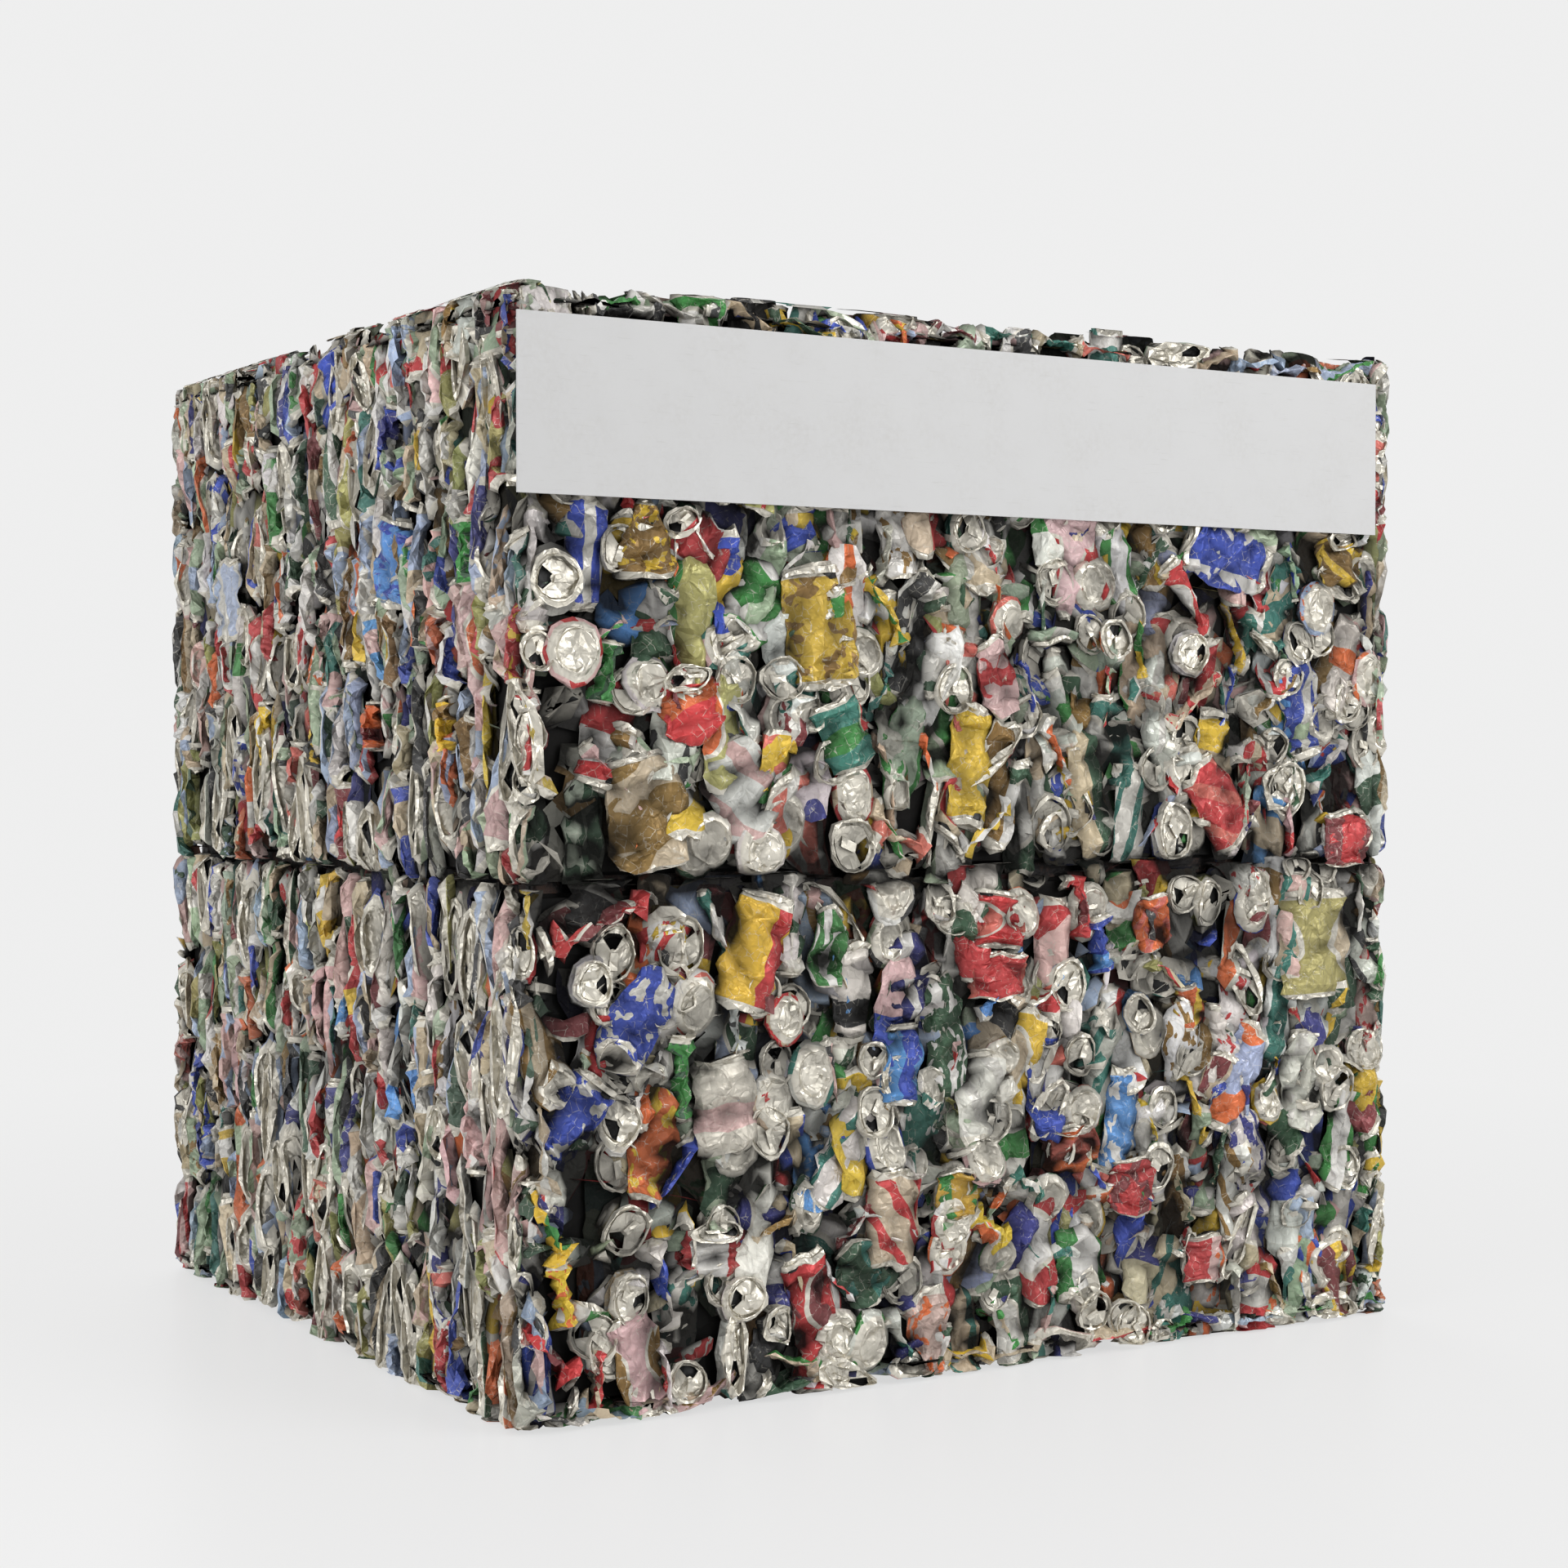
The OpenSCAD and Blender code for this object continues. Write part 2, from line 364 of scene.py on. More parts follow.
straightCan = makeStraightCan()
variants = makeVariants(straightCan)
for cutName, (sourceName, *how) in cutSet.items():
    variants[cutName] = makeCutVariant(variants[sourceName], cutName, *how)
for wholeName in canWays:  # the same with fewer faces, for all cans but those that stand out
    lite = copyOf(variants[wholeName], f"{wholeName}Lite", variants[wholeName].location)
    keepShare(lite, canSet["liteShare"])
    variants[f"{wholeName}Lite"] = lite
print("cans modelled", {name: len(can.data.polygons) for name, can in variants.items()})


def readCan(can):  # its shape as plain arrays, so that hundreds can be copied and joined
    can.modifiers.new("threeSided", "TRIANGULATE")
    applyAll(can)
    data = can.data
    points = readArray(data.vertices, "co", 3)
    low, high = points.min(0), points.max(0)
    points = points - np.array([(low[0] + high[0]) / 2, (low[1] + high[1]) / 2, high[2]])
    return {"points": points, "rest": readArray(data.attributes["canRest"].data, "vector", 3),
            "corners": readCorners(data), "size": high - low}


canShapes = {name: readCan(can) for name, can in variants.items()}
for can in [straightCan, *variants.values()]:
    bpy.data.objects.remove(can)

baleSet = {
    "edgeRound": 0.032,  # of the upright edges
    "rimRound": 0.010,  # of the edges round the top and the underside
    "rimRise": 0.004,  # how unevenly the cans end at the rim
    "rimEase": (0.012, 0.015),  # over what length they are pushed back at the top and at the foot
    "rimInset": 0.002,
    "rimZone": 0.06,  # cans this near to the top or the foot lie less deep, by the share after it
    "rimSunk": 0.4,
    "standing": 0.005,  # how far those stand up that lie right at the rim
    "standZone": 0.015,
    "lineHeight": 0.525,  # the tie's
    "linePush": 0.016,  # how far the cans by the tie are pushed towards it
    "pushReach": 0.090,
    "planInset": 0.004,  # how far in from the sides the cans of the top and the underside end
    "planSpread": 1.025,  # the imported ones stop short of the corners
}
# what cans do by the tie. flat ones and those on edge: the gap they leave open, how far they roll in, over
# what length, and the share of them that bulge over it
tieSet = {
    "flat": {"gap": 0.003, "sink": 0.016, "reach": 0.022, "bridging": 0.22},
    "edge": {"gap": 0.001, "sink": 0.011, "reach": 0.018, "bridging": 0.32},
    "uneven": (-0.002, 0.003),
    "over": (0.003, 0.012),  # how far those that bulge reach past it
    "overSink": 0.5,
    "ease": 0.022,
    "steep": 2.2,  # how late they roll in
}

up = np.array([0.0, 0.0, 1.0])
halfWidth, halfDepth = highCorner[0], highCorner[1]
baleTop = float(highCorner[2])
faces = {}
for faceName, x, y in (("front", 0, -1), ("back", 0, 1), ("left", -1, 0), ("right", 1, 0)):
    half, away = (halfWidth, halfDepth) if y else (halfDepth, halfWidth)
    faces[faceName] = {"right": np.array([-y, x, 0.0]), "out": np.array([x, y, 0.0]),
                       "half": half, "away": away}


def onUpright(face, along, height, out):  # along runs round the upright edges onto their curve
    bend = baleSet["edgeRound"]
    flat = face["half"] - bend
    angle = np.clip((np.abs(along) - flat) / bend, 0, math.pi / 2)
    onward = np.maximum(np.abs(along) - flat - bend * math.pi / 2, 0)  # how far on along the next face
    past = np.abs(along) > flat
    x = np.where(past, flat + (bend + out) * np.sin(angle), np.abs(along)) * np.sign(along)
    y = np.where(past, face["away"] - bend + (bend + out) * np.cos(angle) - onward, face["away"] + out)
    return x[:, None] * face["right"] + y[:, None] * face["out"] + height[:, None] * up


def softBelow(value, limit, reach):  # eases values that near the limit, so that none passes it
    start = limit - reach
    over = np.maximum(value - start, 0)
    return np.where(value > start, start + reach * np.tanh(over / reach), value)


def roundRim(points):  # rolls the edges round the top and the underside over
    r = baleSet["rimRound"]
    bend = baleSet["edgeRound"]
    q = np.abs(points[:, :2]) - (np.array([halfWidth, halfDepth]) - bend)
    outer = np.maximum(q, 0)
    reach = np.linalg.norm(outer, axis=1)
    inward = bend - reach - np.minimum(q.max(1), 0)
    normal = np.where(reach[:, None] > 1e-9, outer / np.maximum(reach, 1e-9)[:, None],
                      np.where(q == q.max(1)[:, None], 1.0, 0.0)) * np.sign(points[:, :2])
    for level, side in ((baleTop, 1), (0.0, -1)):
        depth = (level - points[:, 2]) * side
        u, w = np.maximum(r - inward, 0), np.maximum(r - depth, 0)
        length = np.hypot(u, w)
        turned = (u > 0) & (w > 0) & (length > r)
        share = np.where(turned, r / np.maximum(length, 1e-9), 1.0)
        points[:, :2] -= normal * np.where(turned, u * (1 - share), 0)[:, None]
        points[:, 2] -= side * np.where(turned, w * (1 - share), 0)
    return points


# name: colour as seen, how metallic it looks, how often on the front and back, how often elsewhere
canColours = {
    "silver": ((0.86, 0.85, 0.82), 0.7, 18, 13),
    "white": ((0.91, 0.90, 0.88), 0.1, 15, 7),
    "beige": ((0.80, 0.73, 0.62), 0.3, 8, 12),
    "greenGrey": ((0.66, 0.73, 0.62), 0.35, 10, 14),
    "blush": ((0.86, 0.72, 0.70), 0.3, 6, 9),
    "paleBlue": ((0.68, 0.74, 0.84), 0.35, 5, 9),
    "olive": ((0.68, 0.67, 0.42), 0.5, 3, 7),
    "coral": ((0.88, 0.42, 0.35), 0.4, 2.5, 2),
    "red": ((0.80, 0.05, 0.08), 0.4, 8, 3.4),
    "darkRed": ((0.48, 0.04, 0.08), 0.4, 3, 3),
    "darkGreen": ((0.03, 0.30, 0.13), 0.4, 7, 3.2),
    "green": ((0.10, 0.54, 0.14), 0.4, 4, 2.2),
    "blue": ((0.05, 0.25, 0.72), 0.5, 4, 3.4),
    "deepBlue": ((0.04, 0.08, 0.50), 0.4, 2.5, 1.6),
    "skyBlue": ((0.32, 0.60, 0.88), 0.4, 2, 1.5),
    "yellow": ((0.92, 0.76, 0.05), 0.4, 4.5, 2),
    "orange": ((0.92, 0.42, 0.06), 0.4, 2.5, 2.2),
    "teal": ((0.06, 0.46, 0.40), 0.4, 3, 1.3),
    "oldGold": ((0.58, 0.43, 0.12), 0.7, 2.5, 3),
    "black": ((0.07, 0.07, 0.08), 0.4, 4, 3.5),
}
paleColours = ("silver", "white", "beige", "greenGrey", "blush", "paleBlue", "olive")
canInks = {  # second colours: on a pale can, on a coloured one, and on most cans on edge
    "pale": ("red", "darkGreen", "blue", "green", "red", "teal", "orange", "black", "deepBlue", "oldGold",
             "silver"),
    "strong": ("white", "silver", "white", "yellow", "beige", "silver"),
    "calm": ("silver", "beige", "greenGrey", "paleBlue", "white", "blush"),
}
colourNames = list(canColours)
fadedTone = 0.34  # what sun and dust turn the paint towards


def colourOdds(column):
    odds = np.array([canColours[name][column] for name in colourNames], float)
    return odds / odds.sum()


# how often each kind is laid
frontKinds = {"lidOver": 9, "lidOverB": 9, "footOver": 9, "flat": 7, "flatB": 9, "waisted": 10, "puckLid": 6,
              "puckLidB": 6, "puckFoot": 5, "puckFootB": 5, "twisted": 7, "twistedB": 7, "folded": 4,
              "curled": 4}
discKinds = {"discLid": 3, "discFoot": 2}
deepKinds = {"deepFlat": 3, "deepWaist": 3, "deepFoot": 2, "deepLid": 2}
edgeKinds = {"edgeFlat": 5, "edgeFlatB": 5, "edgeLid": 4, "edgeLidB": 4, "edgeFoot": 4, "edgeWaist": 5,
             "edgeTwist": 4, "endLid": 3, "endFoot": 3}

layingSet = {
    "flat": {"scatter": 0.008, "swing": 16, "tilt": 6, "sunk": 0.0040, "least": 0.002, "thin": 0.72,
             "size": (0.72, 0.94), "backSize": (0.84, 1.04), "stretch": (0.86, 1.18), "narrow": 0.85,
             "disc": 1.10},
    "edge": {"scatter": 0.005, "swing": 7, "tilt": 6, "sunk": 0.005, "overlap": (1.6, 2.7),
             "long": (1.0, 1.3), "calm": 0.55, "fade": 0.24},
    "filler": {"scatter": 0.010, "swing": 32, "tilt": 5, "sunk": (0.004, 0.011), "wide": (0.026, 0.046),
               "long": (0.070, 0.110), "discs": 0.40, "disc": (0.80, 1.0)},
    "rim": {"pitch": 0.068, "scatter": (0.012, 0.003), "swing": 14, "tilt": 5, "sunk": (0.0, 0.006),
            "wide": (0.030, 0.046), "long": (0.070, 0.105), "inset": 0.016, "calm": 0.5, "from": 0.04},
    "deep": {"scatter": 0.010, "swing": 35, "tilt": 3, "sunk": (0.011, 0.016), "size": (0.9, 1.1),
             "thin": 0.8},
    "notable": {"tilt": 2, "sunk": -0.002, "clear": 0.03},  # and how far off the next flat one lies
    # at the upright edges: where on the curve, how wide and how scattered those on edge are, and what their
    # depth and their colours are multiplied by; the colours are darkened as painted shade
    "corner": {"flatAt": 0.2, "edgeAt": (0.30, 0.65, 1.0), "wide": 0.026, "scatter": 0.02, "sunk": 0.35,
               "cornerShade": 0.8},
    "level": {"wide": {1: 1.0, -1: 1.6}, "long": 1.05},  # top and underside; the underside has half as many
    "dome": {"flat": 0.0028, "disc": 0.0020, "edge": 0.0},  # how far a can's rim falls back
    "creases": (0.026, 0.055),  # how far apart a can's own creases lie
    "creaseDeep": {"flat": 0.0033, "disc": 0.0012, "edge": 0.0012},
    "deepest": 0.0225,  # no can reaches past this
    # how far in from the bale's face, and how far below its own top, a can is wholly in painted shade
    "depth": {"flat": 0.024, "disc": 0.024, "edge": 0.030},
    "flank": {"flat": 0.026, "disc": 0.028, "edge": 0.044},
    "pressed": (0.0015, 0.004, 0.002),  # how far they stand out at most, how softly, and how far before that
    "uneven": (0.11, 0.03),  # in shade and in tint
    "paleFade": 0.3,
    "sharpFrom": 15,  # degrees between faces
}


def chooseFrom(dice, odds):
    names = list(odds)
    weights = np.array([odds[name] for name in names], float)
    return names[int(dice.choice(len(names), p=weights / weights.sum()))]


def turned(points, swing, tiltX, tiltY):  # swing about the way out, then the two tilts, in degrees
    for axis, degrees in ((2, swing), (0, tiltX), (1, tiltY)):
        c, s = math.cos(math.radians(degrees)), math.sin(math.radians(degrees))
        a, b = (axis + 1) % 3, (axis + 2) % 3
        first, second = points[:, a].copy(), points[:, b].copy()
        points[:, a] = c * first - s * second
        points[:, b] = s * first + c * second
    return points


def scattered(dice, spot, along, height=None):
    return spot[0] + dice.normal(0, along), spot[1] + dice.normal(0, along if height is None else height)


def eitherWay(dice, spread):  # degrees; either end up
    return dice.normal(0, spread) + 180 * dice.integers(2)


def keepShallow(out):  # eases what lies deep, so that no can is lost in the core
    deepest = layingSet["deepest"]
    return np.where(out < 0, deepest * np.tanh(out / deepest), out)


def crumple(dice, points, deep):  # creases of its own, so that no two cans are alike
    flat = points[:, :2].copy()
    for axis, share in ((2, 1.0), (2, 0.8), (2, 0.7), (0, 0.9), (1, 0.9)):
        lean, length = dice.uniform(0, math.pi), dice.uniform(*layingSet["creases"])
        run = (flat[:, 0] * math.cos(lean) + flat[:, 1] * math.sin(lean)) / length + dice.random()
        points[:, axis] += deep * share * (np.abs(run % 1.0 - 0.5) * 4 - 1)
    return points


def placeCan(dice, can):
    points = canShapes[can["kind"]]["points"] * can["sizes"]
    if can["mirrored"]:
        points = points * (-1, 1, 1)
    reach = points[:, :2] / np.abs(points[:, :2]).max(0)
    points[:, 2] -= layingSet["dome"][can["form"]] * (reach ** 2).sum(1)
    points = crumple(dice, points, layingSet["creaseDeep"][can["form"]])
    points = turned(points, can["swing"], dice.normal(0, can["tilt"]), dice.normal(0, can["tilt"]))
    points[:, 0] *= can["narrow"]
    points[:, 2] -= points[:, 2].max()
    below = -points[:, 2]
    limit, ease, proud = layingSet["pressed"]
    points[:, 2] = softBelow(points[:, 2] - can["sunk"] + proud, limit, ease)  # by the chamber's wall
    points[:, :2] += can["spot"]
    return points, below


def shadeOf(can, out, below):  # painted shade: 0 on what stands out, 1 deep between the cans and down their flanks
    depth, flank = layingSet["depth"][can["form"]], layingSet["flank"][can["form"]]
    return np.clip(np.maximum(-out / depth, below / flank), 0, 1)


def colourCan(dice, odds, name=None, ink=None, calm=0.0, fade=0.15):
    if name is None:
        name = colourNames[int(dice.choice(len(colourNames), p=odds))]
    if ink is None:
        inkNames = canInks["pale" if name in paleColours else "strong"]
        if dice.random() < calm:
            inkNames = canInks["calm"]
        ink = inkNames[int(dice.integers(len(inkNames)))]
    unevenShade, unevenTint = layingSet["uneven"]
    shade = 1 + dice.normal(0, unevenShade)
    tint = dice.normal(0, unevenTint, 3)
    base = [min(1, max(0, c * (shade + t))) for c, t in zip(linear(canColours[name][0]), tint)]
    made = []
    for colour, key in ((base, name), (linear(canColours[ink][0]), ink)):
        faded = fade * (layingSet["paleFade"] if key in paleColours else 1.0)
        metal = canColours[key][1] * (1 - fade)
        made.append((*(c * (1 - faded) + fadedTone * faded for c in colour), metal))
    return made


def solidSpots(node):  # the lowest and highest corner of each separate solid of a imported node
    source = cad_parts[node].data
    points = readArray(source.vertices, "co", 3, np.float64)
    _, same = np.unique(np.round(points, 5), axis=0, return_inverse=True)
    same = same.ravel()
    corners = same[readCorners(source)]
    label = np.arange(same.max() + 1)
    settled = False
    while not settled:  # each corner takes the lowest label of its triangles, until none changes
        least = label[corners].min(1)
        newLabel = label.copy()
        for side in range(3):
            np.minimum.at(newLabel, corners[:, side], least)
        newLabel = newLabel[newLabel]
        settled = (newLabel == label).all()
        label = newLabel
    owner = label[same]
    parts = [points[owner == one] for one in np.unique(owner)]
    return [(part.min(0), part.max(0)) for part in parts]


class Heap:  # gathers placed cans and makes them one joined mesh
    layers = {"canRest": ("FLOAT_VECTOR", "vector"), "canBase": ("FLOAT_COLOR", "color"),
              "canInk": ("FLOAT_COLOR", "color"), "canSeed": ("FLOAT", "value"),
              "canPaintedShade": ("FLOAT", "value")}

    def __init__(self):
        self.points, self.corners, self.count = [], [], 0
        self.values = {name: [] for name in self.layers}

    def add(self, can, points, deep):
        shape = canShapes[can["kind"]]
        size = len(points)
        self.points.append(points)
        corners = shape["corners"][:, ::-1] if can["mirrored"] else shape["corners"]
        self.corners.append(corners + self.count)
        base, ink = (np.tile(colour, (size, 1)) for colour in can["colours"])
        seed = np.full(size, can["seed"])
        for name, values in zip(self.layers, (shape["rest"], base, ink, seed, deep)):
            self.values[name].append(values)
        self.count += size

    def make(self, name):
        points = np.concatenate(self.points).astype(np.float32)
        corners = np.concatenate(self.corners).astype(np.int32)
        data = bpy.data.meshes.new(name)
        data.vertices.add(len(points))
        data.vertices.foreach_set("co", points.ravel())
        data.loops.add(corners.size)
        data.loops.foreach_set("vertex_index", corners.ravel())
        data.polygons.add(len(corners))
        data.polygons.foreach_set("loop_start", np.arange(0, corners.size, 3, dtype=np.int32))
        data.update(calc_edges=True)
        data.validate()
        for label, (kind, field) in self.layers.items():
            values = np.concatenate(self.values[label]).astype(np.float32)
            data.attributes.new(label, kind, "POINT").data.foreach_set(field, values.ravel())
        piece = bpy.data.objects.new(name, data)
        bpy.context.scene.collection.objects.link(piece)
        only(piece)
        bpy.ops.object.shade_smooth_by_angle(angle=math.radians(layingSet["sharpFrom"]))
        return piece


def alongTie(dice, height, out, band, way):  # cans roll in towards the tie and end just short of it
    line, reach, sink = baleSet["lineHeight"], way["reach"], way["sink"]
    gap = way["gap"] / 2 + dice.uniform(*tieSet["uneven"])
    if dice.random() < way["bridging"]:
        gap = -dice.uniform(*tieSet["over"])
        sink = sink * tieSet["overSink"]
    side = 1 if band == "lower" else -1  # measured so that the tie is always ahead
    ahead = side * (height - line)
    ahead = ahead + baleSet["linePush"] * np.clip(1 + ahead / baleSet["pushReach"], 0, 1)
    ahead = softBelow(ahead, -gap, tieSet["ease"])
    near = np.clip((ahead + gap + reach) / reach, 0, 1)
    return line + side * ahead, out - sink * near ** tieSet["steep"]


def newCan(dice, kind, spot, sizes, colours, **settings):
    form = "edge" if kind in edgeKinds else ("disc" if kind.startswith(("puck", "disc")) else "flat")
    return {"kind": kind, "form": form, "spot": spot, "sizes": np.array(sizes), "colours": colours,
            "mirrored": dice.random() < 0.5, "seed": dice.random(), "narrow": 1.0, **settings}


def flatCan(dice, spot, odds, sizes="size"):
    how = layingSet["flat"]
    kind = chooseFrom(dice, frontKinds) + "Lite"
    disc = kind.startswith("puck")
    size = dice.uniform(*how[sizes]) * (how["disc"] if disc else 1.0)
    wide, tall = (1.0, 1.0) if disc else how["stretch"]
    swing = dice.uniform(0, 360) if disc else eitherWay(dice, how["swing"])
    spot = scattered(dice, spot, how["scatter"])
    colours = colourCan(dice, odds)
    sunk = how["least"] + abs(dice.normal(0, how["sunk"]))
    return newCan(dice, kind, spot, (size * wide, size * tall, how["thin"]), colours, swing=swing,
                  tilt=how["tilt"], sunk=sunk, narrow=how["narrow"])


def edgeCan(dice, spot, wide, tall, odds):
    how = layingSet["edge"]
    kind = chooseFrom(dice, edgeKinds)
    shape = canShapes[kind]["size"]
    sizes = (wide * dice.uniform(*how["overlap"]) / shape[0],
             tall * dice.uniform(*how["long"]) / shape[1], 1.0)
    spot = scattered(dice, spot, how["scatter"], how["scatter"] * 3)
    colours = colourCan(dice, odds, calm=how["calm"], fade=how["fade"])
    swing = eitherWay(dice, how["swing"])
    sunk = abs(dice.normal(0, how["sunk"]))
    return newCan(dice, kind, spot, sizes, colours, tilt=how["tilt"], swing=swing, sunk=sunk)


def deepCan(dice, spot, odds):  # in the second layer, seen through the gaps in the first
    how = layingSet["deep"]
    size = dice.uniform(*how["size"])
    spot = scattered(dice, spot, how["scatter"])
    return newCan(dice, chooseFrom(dice, deepKinds), spot, (size, size, how["thin"]), colourCan(dice, odds),
                  swing=eitherWay(dice, how["swing"]), tilt=how["tilt"], sunk=dice.uniform(*how["sunk"]))


def chooseEdge(dice, how):  # a kind of can on edge, and its sizes between the set widths and lengths
    kind = chooseFrom(dice, edgeKinds)
    shape = canShapes[kind]["size"]
    return kind, (dice.uniform(*how["wide"]) / shape[0], dice.uniform(*how["long"]) / shape[1], 1.0)


def fillerCan(dice, spot, odds):  # an end, or a can on edge, in the gaps between flat ones
    how = layingSet["filler"]
    if dice.random() < how["discs"]:
        kind = chooseFrom(dice, discKinds)
        size = dice.uniform(*how["disc"])
        sizes, swing = (size, size * dice.uniform(0.8, 1.0), 0.9), dice.uniform(0, 360)
    else:
        kind, sizes = chooseEdge(dice, how)
        swing = eitherWay(dice, how["swing"])
    spot = scattered(dice, spot, how["scatter"])
    return newCan(dice, kind, spot, sizes, colourCan(dice, odds), tilt=how["tilt"], swing=swing,
                  sunk=dice.uniform(*how["sunk"]))


# cans that stand out: colour, second colour, kind; then in millimetres where along the face and how high,
# how wide and how long; and degrees of lean to the left
notableCans = {
    "front": (
        ("yellow", "oldGold", "flat", -220, 780, 85, 130, 10),
        ("yellow", "green", "edgeFlat", -140, 800, 35, 100, 35),
        ("green", "white", "lidOver", -300, 800, 65, 100, -30),
        ("red", "white", "footOver", -360, 860, 60, 85, 50),
        ("oldGold", "yellow", "curled", -420, 860, 75, 80, 0),
        ("white", "silver", "puckLidB", -520, 820, 70, 70, 0),
        ("blush", "red", "puckFoot", -500, 750, 65, 70, 0),
        ("green", "darkGreen", "edgeFlatB", -460, 730, 40, 65, -10),
        ("red", "white", "edgeFlatB", -550, 670, 50, 90, 0),
        ("red", "orange", "footOver", -370, 700, 75, 80, 15),
        ("oldGold", "beige", "waisted", -420, 600, 95, 110, 15),
        ("white", "blush", "twistedB", -310, 620, 80, 105, 30),
        ("silver", "white", "puckFoot", -290, 560, 58, 58, 0),
        ("coral", "beige", "edgeLid", -120, 570, 40, 85, 75),
        ("teal", "green", "flatB", -190, 670, 60, 80, 25),
        ("blue", "white", "flat", 310, 870, 75, 125, 75),
        ("red", "white", "edgeTwist", 260, 820, 45, 100, 50),
        ("teal", "silver", "twisted", 150, 660, 65, 115, 5),
        ("blush", "red", "waisted", 0, 730, 50, 90, 15),
        ("greenGrey", "silver", "folded", 70, 810, 85, 90, 5),
        ("red", "coral", "flatB", 300, 600, 65, 100, 40),
        ("darkRed", "red", "flat", 490, 560, 70, 60, 0),
        ("oldGold", "yellow", "footOver", 480, 870, 70, 65, 0),
        ("white", "silver", "puckLid", 260, 760, 55, 55, 0),
        ("red", "darkRed", "edgeFlat", -470, 480, 45, 140, 112),
        ("blue", "silver", "lidOver", -430, 390, 65, 115, -33),
        ("blue", "silver", "flat", -500, 300, 65, 100, -40),
        ("white", "silver", "puckLid", -480, 430, 50, 50, 0),
        ("yellow", "red", "flatB", -300, 450, 70, 115, -20),
        ("green", "white", "waisted", -210, 450, 45, 75, -10),
        ("green", "darkGreen", "edgeFlatB", -380, 330, 40, 90, 0),
        ("orange", "yellow", "twistedB", -410, 270, 55, 120, -10),
        ("silver", "blush", "flatB", -330, 300, 75, 100, 5),
        ("deepBlue", "white", "lidOverB", -110, 420, 55, 85, 0),
        ("skyBlue", "blue", "flat", -120, 330, 50, 90, -5),
        ("red", "coral", "flat", 0, 470, 75, 55, 0),
        ("red", "coral", "flatB", 0, 415, 75, 50, 0),
        ("red", "darkRed", "edgeLid", 110, 480, 45, 75, 10),
        ("blue", "skyBlue", "edgeFlatB", 140, 440, 50, 60, 15),
        ("orange", "coral", "waisted", 210, 460, 55, 55, 0),
        ("orange", "yellow", "flatB", 260, 370, 50, 50, 0),
        ("olive", "beige", "flatB", 440, 430, 110, 120, 0),
        ("darkGreen", "green", "edgeFlat", 540, 400, 35, 80, 0),
        ("coral", "orange", "footOver", 100, 230, 75, 65, 10),
        ("white", "silver", "twisted", -20, 290, 60, 100, -5),
        ("yellow", "green", "flat", -50, 190, 55, 55, 0),
        ("yellow", "orange", "edgeFlatB", -10, 150, 50, 60, 55),
        ("teal", "silver", "edgeFoot", 40, 190, 45, 60, 55),
        ("red", "darkRed", "waisted", 180, 180, 70, 65, 0),
        ("green", "white", "lidOver", 110, 100, 70, 90, 0),
        ("red", "white", "footOver", -340, 160, 85, 55, 0),
        ("white", "silver", "puckLid", -310, 110, 60, 55, 0),
        ("red", "darkRed", "flat", -230, 90, 55, 120, 15),
        ("darkGreen", "teal", "waisted", -170, 120, 60, 70, 20),
        ("beige", "red", "flatB", -130, 170, 70, 105, -5),
        ("paleBlue", "silver", "folded", -390, 160, 55, 80, 35),
        ("yellow", "green", "edgeFlat", -530, 200, 45, 95, 30),
        ("yellow", "orange", "edgeFlatB", -510, 130, 40, 70, 10),
        ("red", "darkRed", "edgeFlat", -530, 80, 45, 100, 50),
        ("white", "silver", "waisted", 430, 280, 70, 120, 0),
        ("yellow", "olive", "edgeFlat", 540, 80, 35, 70, 0),
        ("red", "blush", "flatB", 280, 90, 55, 55, 0),
        ("white", "silver", "flatB", -530, 1084, 45, 60, 80),
        ("blue", "silver", "edgeFlat", -200, 1083, 40, 75, 86),
        ("black", "silver", "edgeFlatB", -440, 1083, 36, 90, 94),
    ),
    "left": (
        ("skyBlue", "blue", "flat", 200, 850, 90, 100, -10),
        ("green", "darkGreen", "edgeFlatB", 370, 850, 60, 70, 0),
        ("orange", "darkRed", "edgeFlat", 130, 680, 60, 55, 0),
        ("yellow", "oldGold", "edgeFlat", 320, 680, 50, 60, 10),
        ("blue", "silver", "flatB", 20, 1050, 90, 80, 20),
        ("deepBlue", "blue", "edgeFlat", 180, 980, 60, 80, -20),
        ("orange", "black", "edgeFlatB", 260, 790, 50, 70, 0),
        ("blue", "white", "edgeFoot", 330, 750, 70, 70, -15),
        ("yellow", "white", "edgeFlat", -180, 670, 50, 80, 0),
        ("darkRed", "red", "edgeFlatB", 60, 580, 50, 80, 0),
        ("white", "silver", "edgeWaist", -50, 820, 60, 110, 0),
        ("paleBlue", "silver", "flatB", -290, 830, 90, 100, 0),
        ("darkRed", "red", "flatB", 470, 1086, 60, 70, 0),
        ("black", "silver", "edgeFlat", 410, 1088, 50, 80, 20),
        ("oldGold", "beige", "edgeWaist", 350, 1086, 55, 90, -10),
        ("silver", "paleBlue", "edgeLid", 240, 1086, 60, 90, 10),
    ),
}


def rimCans(dice, faceName, level, odds):  # cans pressed lengthwise into the rim of the front and the back
    how = layingSet["rim"]
    half = faces[faceName]["half"]
    cans = []
    for along in np.arange(-half + how["from"], half, how["pitch"]):
        kind, sizes = chooseEdge(dice, how)
        spot = scattered(dice, (float(along), level), *how["scatter"])
        colours = colourCan(dice, odds, calm=how["calm"])
        cans.append(newCan(dice, kind, spot, sizes, colours, tilt=how["tilt"],
                           swing=90 + dice.normal(0, how["swing"]), sunk=dice.uniform(*how["sunk"])))
    return cans


